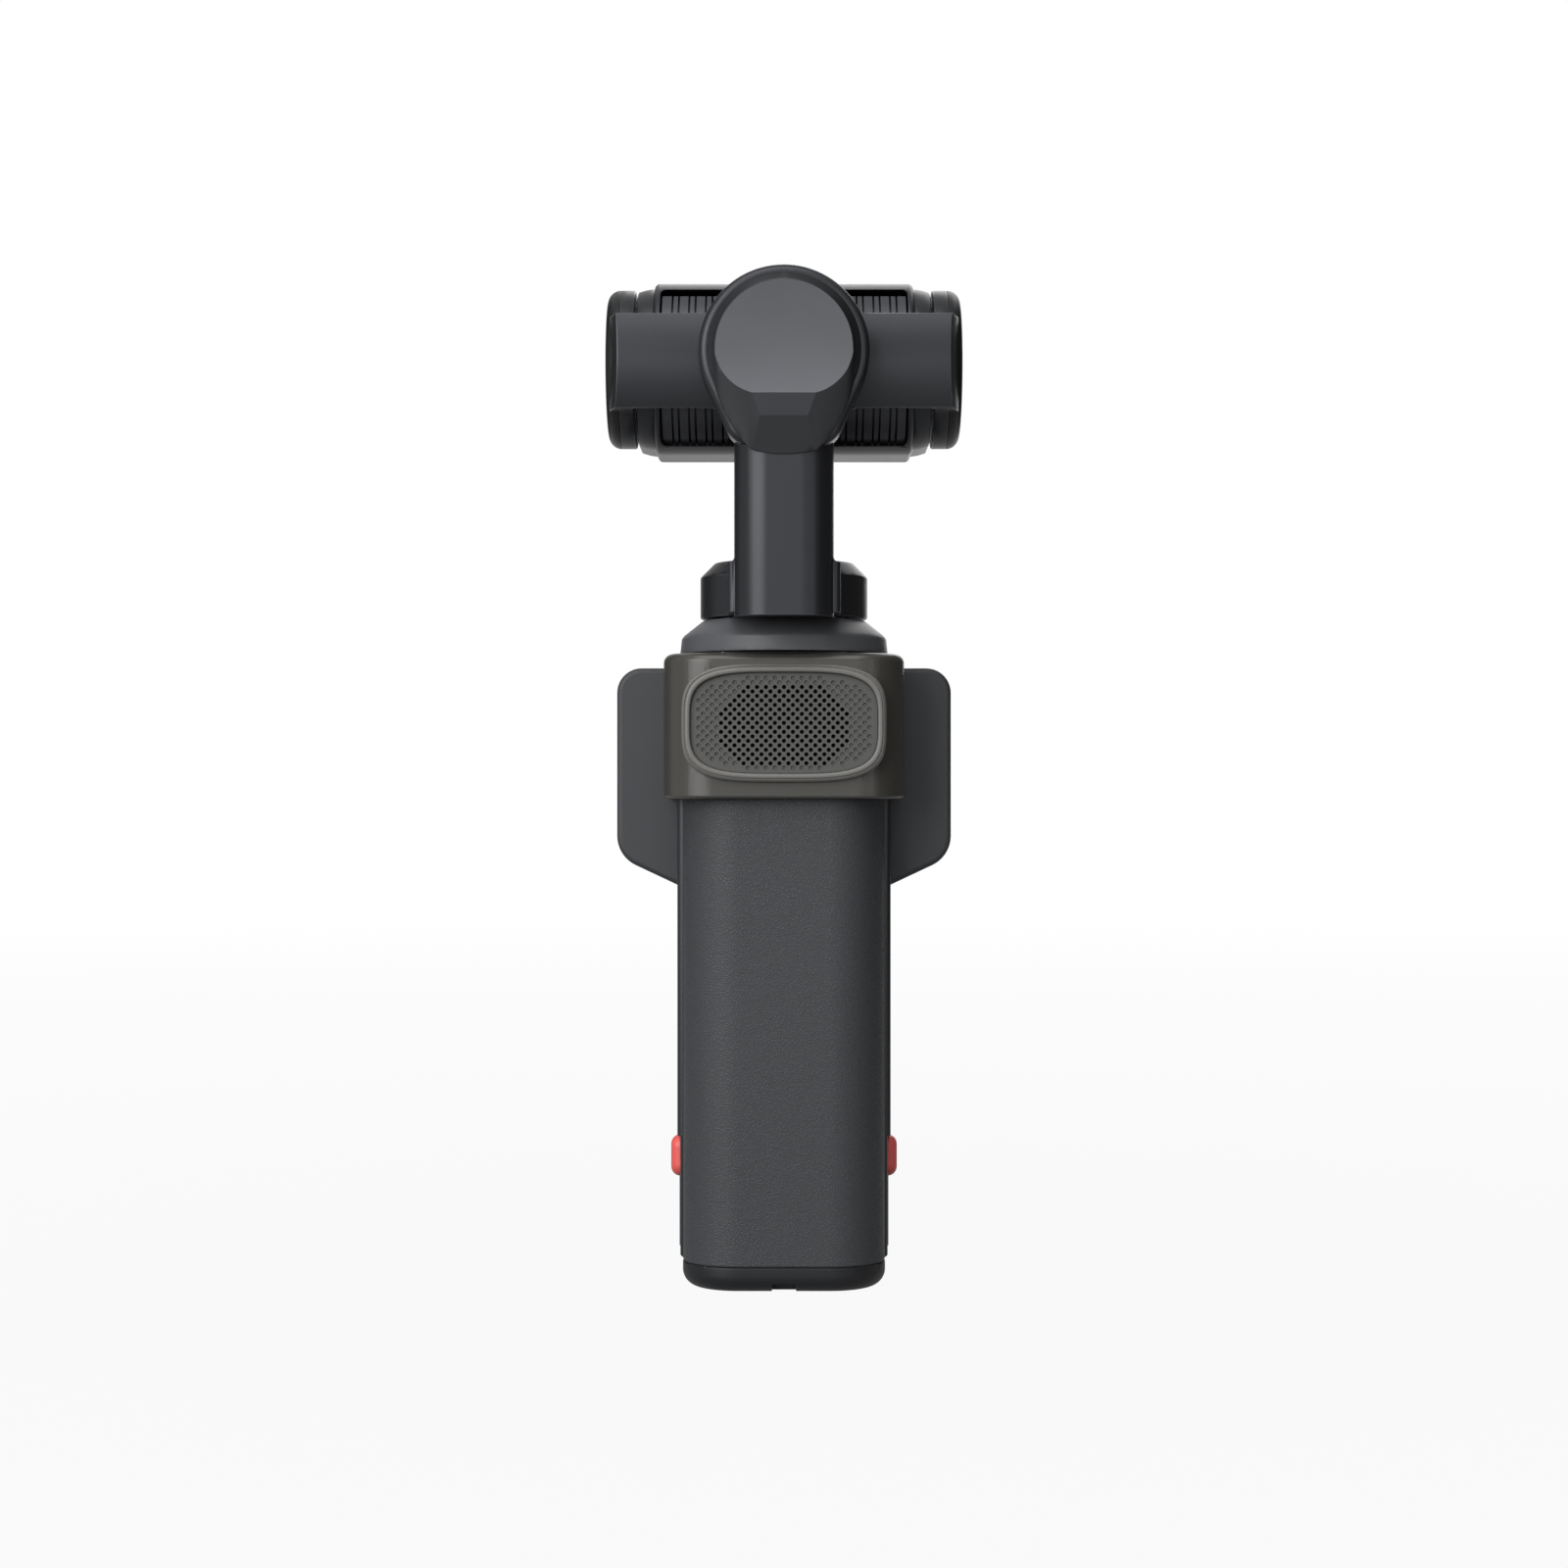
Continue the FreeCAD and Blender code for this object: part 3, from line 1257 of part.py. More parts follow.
def make_yoke():
    body = new_body("yoke")
    low = axis_height - bar_below
    high = axis_height + bar_above
    inner = cheek_inside
    bevel = cap_outside - bevel_inset
    beyond = cap_outside + overshoot
    hub = circle(0, axis_height, can_radius - hub_margin)
    pad(body, "XY", low, high, polygon(
        (-cap_outside, 0), (-inner, 0), (-inner, bar_front - yoke_notch),
        (-(inner - yoke_notch), bar_front), (inner - yoke_notch, bar_front),
        (inner, bar_front - yoke_notch), (inner, 0), (cap_outside, 0),
        (bevel, bevel_start), (bar_face_half_width, bar_rear), (-bar_face_half_width, bar_rear),
        (-bevel, bevel_start)))
    pad(body, "XZ", bar_front, bar_rear, hub)
    depth = FreeCAD.Vector(0, 1, 0)
    treat_edges(body, "Fillet", hub_fillet,
                lambda edge: runs_along(edge, depth) and abs(centre_of(edge).x) < number(can_radius)
                and (near(centre_of(edge).z, low) or near(centre_of(edge).z, high)))
    # The bar's back is crowned, and the hub in its middle stays flat
    pocket(body, "YZ", -beyond, beyond, circle(bar_rear - bar_crown_radius, axis_height, bar_crown_radius),
           rectangle(-beyond, beyond, axis_height - beyond, axis_height + beyond))
    pad(body, "XZ", bar_front, bar_rear, hub)
    for side in (-1, 1):
        pad(body, "YZ", *in_order(side * inner, side * cheek_outside), circle(0, axis_height, cheek_radius))
        pocket(body, "YZ", *in_order(side * cheek_outside, side * (cap_outside + overshoot)),
               circle(0, axis_height, cheek_radius + cap_gap))
        pocket(body, "YZ", *in_order(side * (inner + cheek_wall), side * cheek_outside),
               circle(0, axis_height, cheek_bore))
    pocket(body, "YZ", inner, inner + cheek_wall, circle(0, axis_height, tilt_boss_radius + running_gap))
    pocket(body, "YZ", -(inner + cheek_wall), -inner, circle(0, axis_height, tilt_bearing_radius))
    pad(body, "XZ", bar_rear, bar_rear + boss_reach, circle(0, axis_height, boss_radius))


def make_end_cap(name, side):
    body = new_body(name)
    pad(body, "YZ", *in_order(side * cheek_outside, side * cap_outside),
        circle(0, axis_height, cheek_radius))
    treat_edges(body, "Fillet", cap_rounding,
                lambda edge: near(abs(edge.BoundBox.XMin), cap_outside)
                and near(abs(edge.BoundBox.XMax), cap_outside))
    pocket(body, "YZ", *in_order(side * cheek_outside, side * (cap_outside - cap_wall)),
           circle(0, axis_height, cheek_bore))


def make_tilt_motor():
    stator = new_body("tilt_stator")
    start = cheek_inside + cheek_wall
    coil_inside = cheek_bore - tilt_coil_width
    pad(stator, "YZ", start, start + tilt_coil_depth, circle(0, axis_height, cheek_bore),
        circle(0, axis_height, coil_inside))
    rotor = new_body("tilt_rotor")
    face = cheek_inside + tilt_boss_reach
    pad(rotor, "YZ", face, face + tilt_rotor_depth, circle(0, axis_height, coil_inside - rotor_gap))
    bearing = new_body("tilt_bearing")
    pad(bearing, "YZ", -(cheek_inside + cheek_wall), -cheek_inside,
        circle(0, axis_height, tilt_bearing_radius),
        circle(0, axis_height, tilt_boss_radius + running_gap))


def make_roll_rotor():
    body = new_body("roll_rotor")
    start = bar_rear + boss_reach
    outer = can_radius - can_rim - roll_coil_width - rotor_gap
    pad(body, "XZ", start, start + roll_rotor_depth, circle(0, axis_height, outer))


# Camera head

def make_head_shell():
    body = new_body("head_shell")
    across = head_half_width
    inside = head_radius - head_wall
    pad(body, "YZ", -across, across, circle(0, axis_height, head_radius))
    pad(body, "YZ", -across, across,
        rectangle(-head_split, 0, axis_height - head_radius, axis_height + head_radius))
    pocket(body, "YZ", -across, across,
           rectangle(-(head_radius + overshoot), -head_split, axis_height - head_radius - overshoot,
                     axis_height + head_radius + overshoot))
    round_head_ends(body)
    pocket(body, "YZ", -across, across, circle(0, axis_height, inside))
    pocket(body, "YZ", -across, across,
           rectangle(-(head_radius + overshoot), 0, axis_height - inside, axis_height + inside))
    pocket(body, "XZ", window_front, head_radius + overshoot,
           rounded(-window_half_width, window_half_width, axis_height - window_below,
                   axis_height + window_above, window_corner))


def round_head_ends(body):
    # The outer edges of both end faces, but not the edges along the joint with the head's front
    treat_edges(body, "Fillet", head_end_rounding,
                lambda edge: near(abs(edge.BoundBox.XMin), head_half_width)
                and near(abs(edge.BoundBox.XMax), head_half_width)
                and not near(centre_of(edge).y, -head_split))


def make_heat_sink():
    body = new_body("heat_sink")
    across = window_half_width - rotor_gap
    low_end = window_below - rotor_gap
    inside = sink_root - sink_wall
    beyond = sink_radius + overshoot
    for radius, high_end in ((sink_radius, fin_above), (sink_root, window_above - rotor_gap)):
        pad(body, "YZ", -across, across, circle(0, axis_height, radius), circle(0, axis_height, inside))
        pocket(body, "YZ", -across, across,
               rectangle(-beyond, window_front, axis_height - beyond, axis_height + beyond))
        for low, high in ((-beyond, -low_end), (high_end, beyond)):
            pocket(body, "YZ", -across, across,
                   rectangle(0, beyond, axis_height + low, axis_height + high))
    count = int(number(across) * 2 / number(fin_pitch))
    narrow_slot = fin_wide + fin_slot + (fin_pitch - fin_wide - fin_slot * 2)
    for offset in (fin_wide, narrow_slot):
        start = -across + offset
        cut = pocket(body, "YZ", start, start + fin_slot,
                     circle(0, axis_height, beyond), circle(0, axis_height, sink_root))
        pattern = body.newObject("PartDesign::LinearPattern", "Fins")
        pattern.Originals = [cut]
        pattern.Direction = (cut.Profile[0], ["N_Axis"])
        bind(pattern, "Length", fin_pitch * (count - 1))
        pattern.Occurrences = count
        body.Tip = pattern


def make_head_front():
    body = new_body("head_front")
    across = head_half_width
    low = axis_height - head_radius
    high = axis_height + head_radius
    inside = head_radius - head_wall
    sideways = FreeCAD.Vector(1, 0, 0)
    pad(body, "YZ", -across, across, rectangle(-head_front_reach, -head_split, low, high))
    treat_edges(body, "Fillet", head_front_corner,
                lambda edge: runs_along(edge, sideways) and near(centre_of(edge).y, -head_front_reach))
    round_head_ends(body)
    pocket(body, "YZ", -across, across,
           rectangle(-(head_front_reach - head_wall), -head_split + overshoot,
                     axis_height - inside + front_lip, axis_height + inside - front_lip))
    pocket(body, "YZ", -across, across,
           rectangle(-(head_front_reach - head_front_corner), -head_split + overshoot,
                     axis_height - inside, axis_height + inside))
    for place, radius in ((main_lens_place, main_lens_radius), (-tele_lens_place, tele_lens_radius)):
        pocket(body, "XZ", -head_front_reach, -(head_front_reach - head_wall),
               circle(place, axis_height, radius + lens_gap))


def head_section(place, scale):
    radius = number(head_radius) * scale
    front = number(head_front_reach) * scale
    corner = number(head_front_corner) * scale
    axis = number(axis_height)

    def at(depth, rise):
        return FreeCAD.Vector(place, depth, axis + rise)

    slope = corner * (1 - math.sqrt(0.5))
    return Part.Wire([
        Part.Arc(at(0, -radius), at(radius, 0), at(0, radius)).toShape(),
        Part.makeLine(at(0, radius), at(-front + corner, radius)),
        Part.Arc(at(-front + corner, radius), at(-front + slope, radius - slope),
                 at(-front, radius - corner)).toShape(),
        Part.makeLine(at(-front, radius - corner), at(-front, -radius + corner)),
        Part.Arc(at(-front, -radius + corner), at(-front + slope, -radius + slope),
                 at(-front + corner, -radius)).toShape(),
        Part.makeLine(at(-front + corner, -radius), at(0, -radius))])


def make_head_end(name, side):
    inner = number(head_half_width)
    outer = number(head_end)
    middle = inner + number(head_end_middle)
    sections = [head_section(side * inner, number(head_end_start_scale)),
                head_section(side * middle, number(head_end_middle_scale)),
                head_section(side * outer, number(head_end_scale))]
    shape = Part.makeLoft(sections, True, True)
    sideways = FreeCAD.Vector(side, 0, 0)
    axis = number(axis_height)
    boss = Part.makeCylinder(number(tilt_boss_radius), number(head_gap + tilt_boss_reach),
                             FreeCAD.Vector(side * outer, 0, axis), sideways)
    hollow = Part.makeCylinder(number(head_radius - head_end_wall), number(head_end_hollow),
                               FreeCAD.Vector(side * inner, 0, axis), sideways)
    item = doc.addObject("Part::Feature", name)
    item.Label = name
    item.Shape = shape.fuse(boss).cut(hollow).removeSplitter()
    nodes.append(item)


def make_lens(name, place, radius, glass_radius):
    barrel = new_body(name + "_lens_barrel")
    front = head_front_reach + lens_proud
    pad(barrel, "XZ", -(head_front_reach - head_wall), -(front - lens_length),
        circle(place, axis_height, radius - lens_step))
    pad(barrel, "XZ", -front, -(head_front_reach - head_wall), circle(place, axis_height, radius))
    treat_edges(barrel, "Fillet", lens_rounding,
                lambda edge: near(edge.BoundBox.YMax, -front))
    pocket(barrel, "XZ", -front, -(front - lens_recess),
           circle(place, axis_height, glass_radius + glass_seat))
    pocket(barrel, "XZ", -(front - lens_recess), -(front - lens_recess - lens_bore_depth),
           circle(place, axis_height, glass_radius - glass_ledge))
    dome = number(glass_dome)
    rim = number(glass_radius)
    sphere_radius = (rim * rim + dome * dome) / (2 * dome)
    seat = -number(front - lens_recess)
    centre = FreeCAD.Vector(number(place), seat - dome + sphere_radius, number(axis_height))
    ball = Part.makeSphere(sphere_radius, centre)
    slab = Part.makeCylinder(rim, dome, FreeCAD.Vector(number(place), seat - dome, number(axis_height)),
                             FreeCAD.Vector(0, 1, 0))
    item = doc.addObject("Part::Feature", name + "_lens_glass")
    item.Label = name + "_lens_glass"
    item.Shape = ball.common(slab)
    nodes.append(item)


def make_head_boards():
    inside = head_radius - head_wall - sensor_margin
    rear = head_front_reach + lens_proud - lens_length
    sensor = new_body("sensor_board")
    width = head_half_width - head_board_margin
    pad(sensor, "XZ", -rear, -(rear - board_thickness),
        rectangle(-width, width, axis_height - inside, axis_height + inside))
    processor = new_body("processor_board")
    tall = sink_root - sink_wall - processor_margin
    start = window_front + processor_setback
    pad(processor, "XZ", start, start + board_thickness,
        rectangle(-width, width, axis_height - tall, axis_height + tall))


def make_everything():
    make_handle_frame()
    make_back_cover()
    make_bottom_cap()
    make_strap_pin()
    make_tripod_insert()
    make_usb_c_port()
    make_cap_screws()
    make_handle_battery()
    make_main_board()
    make_microphones()
    make_dock_contacts()
    make_latch_bracket()
    for name, side in (("right", 1), ("left", -1)):
        make_latch_button(name, side)
        make_latch_spring(name, side)
    make_module_housing()
    make_module_face()
    make_screen_glass()
    make_display_panel()
    make_module_battery()
    make_module_board()
    make_module_contacts()
    make_button_switches()
    make_module_buttons()
    make_joystick()
    make_wind_guard()
    make_grille_rim()
    make_grille_mesh()
    make_wind_foam()
    make_neck_ring()
    make_pan_motor()
    make_arm_frame()
    make_arm_flex_cable()
    make_roll_stator()
    make_roll_cover()
    make_yoke()
    make_end_cap("tilt_motor_cap", 1)
    make_end_cap("tilt_bearing_cap", -1)
    make_tilt_motor()
    make_roll_rotor()
    make_head_shell()
    make_heat_sink()
    make_head_front()
    make_head_end("head_end_right", 1)
    make_head_end("head_end_left", -1)
    make_lens("main", main_lens_place, main_lens_radius, main_glass_radius)
    make_lens("tele", -tele_lens_place, tele_lens_radius, tele_glass_radius)
    make_head_boards()


def check_and_export():
    doc.recompute()
    for item in doc.Objects:
        if "Invalid" in item.State or "Error" in item.State:
            raise RuntimeError("%s (%s) failed: %s" % (item.Label, item.Name, item.State))
    os.makedirs("parts", exist_ok=True)
    for item in nodes:
        if item.Shape.isNull() or not item.Shape.isValid():
            raise RuntimeError(item.Label + " has no valid shape")
        item.Shape.exportStep("parts/%s.step" % item.Label)
        print(item.Label, len(item.Shape.Solids), round(item.Shape.Volume, 1))


make_everything()
check_and_export()
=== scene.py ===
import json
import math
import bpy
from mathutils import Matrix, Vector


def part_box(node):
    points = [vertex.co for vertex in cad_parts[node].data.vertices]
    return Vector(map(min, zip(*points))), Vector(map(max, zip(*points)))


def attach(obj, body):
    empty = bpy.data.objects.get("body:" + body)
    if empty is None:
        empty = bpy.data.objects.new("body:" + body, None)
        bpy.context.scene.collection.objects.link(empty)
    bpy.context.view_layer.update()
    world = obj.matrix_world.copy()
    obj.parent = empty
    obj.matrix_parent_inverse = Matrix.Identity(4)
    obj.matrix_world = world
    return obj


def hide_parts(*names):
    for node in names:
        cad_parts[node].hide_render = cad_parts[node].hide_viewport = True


bl_info = {
    "name": "Gimbal camera",
    "version": (1, 0, 0),
    "blender": (4, 5, 0),
    "location": "View3D > Sidebar > Gimbal camera",
    "description": "Finishes a hand-held gimbal camera with a screen module and a wind guard",
    "category": "Object",
}

import bmesh
import bpy
from bpy.props import FloatProperty, FloatVectorProperty, IntProperty, PointerProperty
from mathutils import Matrix, Vector

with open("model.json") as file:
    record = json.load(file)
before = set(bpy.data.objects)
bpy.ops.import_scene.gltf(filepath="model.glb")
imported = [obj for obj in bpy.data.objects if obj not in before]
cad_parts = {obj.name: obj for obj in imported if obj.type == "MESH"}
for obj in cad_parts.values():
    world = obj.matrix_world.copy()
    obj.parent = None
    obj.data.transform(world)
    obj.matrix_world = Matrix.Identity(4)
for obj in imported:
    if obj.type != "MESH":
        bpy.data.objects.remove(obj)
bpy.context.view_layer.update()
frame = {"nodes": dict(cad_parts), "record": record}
MM = 0.001
SRGB_KNEE, SRGB_SLOPE, SRGB_OFFSET, SRGB_POWER = 0.04045, 12.92, 0.055, 2.4
WELD_DISTANCE = 0.0005 * MM
AXIS_GAP = 0.02 * MM
FLAT_ANGLE = math.radians(0.05)
FACET_ANGLE = math.radians(2.5)
EDGE_ANGLE = math.radians(28)
SKIN_ANGLE = math.radians(50)

BODY_OF = {node: body for body, nodes in frame["record"]["behaviour"]["bodies"].items()
           for node in nodes}
SLOT_OF = {row["node"]: row["material_slot"] for row in frame["record"]["subparts"]}


def tone(red, green, blue):
    """A colour as seen on a screen, 0 to 255, in the linear values that a shader takes."""
    def linear(value):
        value = value / 255
        if value <= SRGB_KNEE:
            return value / SRGB_SLOPE
        return ((value + SRGB_OFFSET) / (1 + SRGB_OFFSET)) ** SRGB_POWER
    return (linear(red), linear(green), linear(blue))


def size_property(name, description, default):
    return FloatProperty(name=name, description=description, default=default, min=0.0,
                         subtype="DISTANCE", unit="LENGTH", precision=5)


def power_property(name, description, default):
    return FloatProperty(name=name, description=description, default=default, min=0.0,
                         subtype="POWER", unit="POWER")


def colour_property(name, description, default):
    return FloatVectorProperty(name=name, description=description, default=default, size=3,
                               min=0.0, max=1.0, subtype="COLOR")


# What a user would change

class MetalSettings(bpy.types.PropertyGroup):
    alloy: colour_property("Alloy", "Anodised metal of the gimbal", tone(42, 43, 46))
    # The cover's flat face is lighter partly as a painted reflection
    cover: colour_property("Cover face and reflection", "Bare face of the roll motor cover", tone(96, 97, 101))
    # The facets that face down or aside are darker as painted shade
    slope: colour_property("Cover facet shade", "Facets round that face", tone(27, 28, 30))
    cap: colour_property("Motor caps", "Ends of the tilt axis", tone(21, 22, 24))
    ring: colour_property("Neck ring", "Machined ring under the pan motor", tone(74, 75, 78))
    fins: colour_property("Fins", "Heat sink behind the lenses", tone(60, 61, 65))
    handle: colour_property("Handle", "Anodised handle frame", tone(42, 44, 47))
    steel: colour_property("Steel", "Screws, pins and shafts", tone(176, 178, 182))
    edge_radius: size_property("Edge radius", "Rounding of the machined edges", 0.15 * MM)
    foot_top: size_property("Foot top", "Height of the step at the handle's foot", 22.3 * MM)
    bridge_top: size_property("Bridge top", "Height of the arm's bridge", 108.0 * MM)
    bridge_rear: size_property("Bridge rear", "From the pan axis to the bridge's end", 18.2 * MM)
    yoke_back: size_property("Yoke back", "From the roll axis's crossing back to the yoke's face",
                             15.9 * MM)
    hub_radius: size_property("Hub radius", "Flat middle of the yoke", 12.34 * MM)
    yoke_crown: size_property("Yoke crown", "Radius of the yoke's crowned back", 19.5 * MM)
    roughness: FloatProperty(name="Roughness", description="Of the anodised metal",
                             default=0.38, min=0.0, max=1.0, subtype="FACTOR")


class GripSettings(bpy.types.PropertyGroup):
    colour: colour_property("Grip", "Grained back of the handle", tone(52, 54, 57))
    grain_size: size_property("Grain size", "Width of one leather cell", 0.42 * MM)
    grain_depth: size_property("Grain depth", "Depth between the leather cells", 0.035 * MM)
    plastic: colour_property("Plastic", "Module plastic", tone(47, 49, 52))
    base: colour_property("Base", "Base plastic", tone(22, 23, 25))
    edge_radius: size_property("Edge radius", "Rounding of the moulded edges", 0.15 * MM)


class LatchSettings(bpy.types.PropertyGroup):
    colour: colour_property("Latch red", "Release latches and record button", tone(212, 84, 80))


class GuardSettings(bpy.types.PropertyGroup):
    colour: colour_property("Collar", "Smoke plastic of the wind guard", tone(54, 53, 49))
    grille: colour_property("Grille", "Perforated plate", tone(68, 68, 67))
    rim: colour_property("Rim", "Raised rim round the grille", tone(98, 97, 94))
    squareness: FloatProperty(name="Squareness", description="Of the grille: 2 is an ellipse",
                              default=3.7, min=2.0, max=10.0)
    spacing: size_property("Spacing", "Between two holes of a row", 1.32 * MM)
    hole_radius: size_property("Hole radius", "Through holes in the middle", 0.34 * MM)
    dimple_radius: size_property("Dimple radius", "Blind holes round them", 0.34 * MM)
    dimple_depth: size_property("Dimple depth", "Depth of the blind holes", 0.26 * MM)
    sides: IntProperty(name="Sides", description="Of each hole's outline", default=12,
                       min=8, max=24)


class ScreenSettings(bpy.types.PropertyGroup):
    glass: colour_property("Glass", "Black glass of the screen", tone(12, 13, 15))
    rubber: colour_property("Rubber", "Joystick cap", tone(34, 35, 37))


class LensSettings(bpy.types.PropertyGroup):
    front_depth: size_property("Front depth", "Of the wide front of a barrel", 2.6 * MM)
    step: size_property("Step", "From the front of a barrel down to its body", 0.8 * MM)
    ledge: size_property("Ledge", "Under the edge of the front glass", 0.4 * MM)
    well_depth: size_property("Well depth", "From the glass down to the iris", 2.0 * MM)


class StickSettings(bpy.types.PropertyGroup):
    thickness: size_property("Thickness", "Of the joystick cap", 1.7 * MM)
    stem_radius: size_property("Stem radius", "Of the joystick", 1.5 * MM)
    dish_radius: size_property("Dish radius", "Of the hollow in the cap", 3.0 * MM)
    rib_depth: size_property("Rib depth", "Of the ribs round the cap", 0.14 * MM)


class ScrewSettings(bpy.types.PropertyGroup):
    head_radius: size_property("Head radius", "Of a base screw", 1.5 * MM)
    head_height: size_property("Head height", "Of a base screw", 1.0 * MM)
    shank_radius: size_property("Shank radius", "Of a base screw", 0.8 * MM)
    pitch: size_property("Pitch", "Of the thread", 0.4 * MM)


class StageSettings(bpy.types.PropertyGroup):
    distance: size_property("Camera distance", "From the pan axis", 0.45)
    eye_height: size_property("Eye height", "Of the camera over the floor", 0.0755)
    focal_length: FloatProperty(name="Focal length", description="Of the camera's lens",
                                default=67.84, min=10.0, subtype="DISTANCE_CAMERA")
    key_power: power_property("Key light", "Large soft light behind the camera", 10.0)
    top_power: power_property("Top light", "Soft light from above", 7.0)
    fill_power: power_property("Fill light", "Soft light on the screen side", 5.0)
    side_power: power_property("Side light", "Weak light on the far side", 1.6)
    strip_power: power_property("Strip light", "Low strip that the roll cover mirrors", 0.8)
    room_light: FloatProperty(name="Room light", description="Light that the room gives",
                              default=0.22, min=0.0)
    floor_reach: size_property("Floor reach", "Half the width of the floor", 3.0)
    card_distance: size_property("Card distance", "Of the dark cards from the object", 0.3)
    card_far: size_property("Card reach", "How far back both cards reach", 0.65)
    key_card_near: FloatProperty(name="Key side card", default=-0.12, unit="LENGTH",
                                 description="How far the card on the key's side comes forward")
    far_card_near: size_property("Far side card",
                                 "How far the card on the other side comes forward", 0.3)
    card_height: size_property("Card height", "Of each dark card", 0.5)


SETTINGS = {
    "metal": MetalSettings, "grip": GripSettings, "latch": LatchSettings, "guard": GuardSettings,
    "screen": ScreenSettings, "lens": LensSettings, "stick": StickSettings,
    "screw": ScrewSettings, "stage": StageSettings,
}


def settings(name):
    return getattr(bpy.context.scene, "gimbal_" + name)


# Shader node groups

def add_node(tree, kind, inputs=None, **facts):
    node = tree.nodes.new(kind)
    for name, value in facts.items():
        setattr(node, name, value)
    for name, value in (inputs or {}).items():
        if isinstance(value, bpy.types.NodeSocket):
            tree.links.new(value, node.inputs[name])
        else:
            node.inputs[name].default_value = value
    return node


def new_group(kind, name, inputs, outputs):
    """An empty node group with its named sockets, and the sockets inside it at its two ends."""
    tree = bpy.data.node_groups.new(name, kind)
    for way, rows in (("INPUT", inputs), ("OUTPUT", outputs)):
        for label, socket_kind, *value in rows:
            socket = tree.interface.new_socket(label, in_out=way,
                                               socket_type="NodeSocket" + socket_kind)
            if value:
                socket.default_value = value[0]
    start, end = tree.nodes.new("NodeGroupInput"), tree.nodes.new("NodeGroupOutput")
    return tree, start.outputs, end.inputs


def pattern_group(name, sizes):
    """An empty group that turns a place and a colour into a colour, a roughness and a normal."""
    return new_group("ShaderNodeTree", name,
                     [("Place", "Vector"), ("Colour", "Color"),
                      *((label, "Float", size) for label, size in sizes.items())],
                     [("Colour", "Color"), ("Roughness", "Float"), ("Normal", "Vector")])


def end_pattern(tree, end, colour, roughness, height, strength, depth):
    """Gives out a pattern's colour and roughness, and its height as a bump."""
    bump = add_node(tree, "ShaderNodeBump",
                    {"Strength": strength, "Distance": depth, "Height": height})
    tree.links.new(colour, end["Colour"])
    tree.links.new(roughness, end["Roughness"])
    tree.links.new(bump.outputs["Normal"], end["Normal"])


def maths(tree, operation, *values):
    node = add_node(tree, "ShaderNodeMath", dict(enumerate(values)), operation=operation)
    return node.outputs[0]


def shade(tree, colour, factor, low, high):
    """The colour made darker or lighter, from low to high, as factor goes from 0 to 1."""
    level = add_node(tree, "ShaderNodeMapRange", {"Value": factor, "To Min": low, "To Max": high})
    scaled = add_node(tree, "ShaderNodeVectorMath", {0: colour}, operation="SCALE")
    tree.links.new(level.outputs["Result"], scaled.inputs["Scale"])
    return scaled.outputs["Vector"]


def make_blasted_group():
    """Bead-blasted or moulded surface: a fine even grain, and faint patches left by handling."""
    tree, start, end = pattern_group(
        "Blasted grain",
        {"Grain Size": 0.2 * MM, "Grain Depth": 0.01 * MM, "Roughness": 0.4, "Patches": 0.03})
    per_metre = maths(tree, "DIVIDE", 1.0, start["Grain Size"])
    grain = add_node(tree, "ShaderNodeTexNoise",
                     {"Vector": start["Place"], "Scale": per_metre, "Detail": 2.0}).outputs["Fac"]
    patch = add_node(tree, "ShaderNodeTexNoise",
                     {"Vector": start["Place"], "Scale": 90.0, "Detail": 4.0, "Roughness": 0.6})
    centred = maths(tree, "SUBTRACT", patch.outputs["Fac"], 0.5)
    roughness = maths(tree, "MULTIPLY_ADD", centred, start["Patches"], start["Roughness"])
    end_pattern(tree, end, shade(tree, start["Colour"], grain, 0.9, 1.1), roughness,
                height=grain, strength=1.0, depth=start["Grain Depth"])
    return tree


def make_leather_group():
    """Fine leather grain: rounded cells of uneven size with creases between them."""
    tree, start, end = pattern_group(
        "Leather grain", {"Cell Size": 0.4 * MM, "Depth": 0.05 * MM, "Roughness": 0.5})
    per_metre = maths(tree, "DIVIDE", 1.0, start["Cell Size"])
    sway = add_node(tree, "ShaderNodeTexNoise",
                    {"Vector": start["Place"], "Scale": 900.0, "Detail": 2.0})
    sway_reach = (0.4 * MM, 0.4 * MM, 0.4 * MM)
    bent = add_node(tree, "ShaderNodeVectorMath",
                    {0: sway.outputs["Color"], 1: sway_reach, 2: start["Place"]},
                    operation="MULTIPLY_ADD")
    cells = add_node(tree, "ShaderNodeTexVoronoi",
                     {"Vector": bent.outputs["Vector"], "Scale": per_metre},
                     feature="DISTANCE_TO_EDGE")
    crown = add_node(tree, "ShaderNodeMapRange",
                     {"Value": cells.outputs["Distance"], "From Max": 0.3},
                     interpolation_type="SMOOTHSTEP").outputs["Result"]
    roughness = maths(tree, "MULTIPLY_ADD", crown, -0.12, start["Roughness"])
    # The colour is darker in the creases between the cells and lighter on their crowns: painted
    # shade
    end_pattern(tree, end, shade(tree, start["Colour"], crown, 0.82, 1.03), roughness,
                height=crown, strength=0.8, depth=start["Depth"])
    return tree


GROUPS = {}


# Materials

def new_material(name):
    material = bpy.data.materials.new(name)
    material.use_nodes = True
    material.node_tree.nodes.clear()
    return material, material.node_tree


def show(tree, surface, kind="Material"):
    """Links a shader to the output of its material or world."""
    output = tree.nodes.new("ShaderNodeOutput" + kind)
    tree.links.new(surface, output.inputs["Surface"])


def place_of(tree):
    return add_node(tree, "ShaderNodeTexCoord").outputs["Object"]


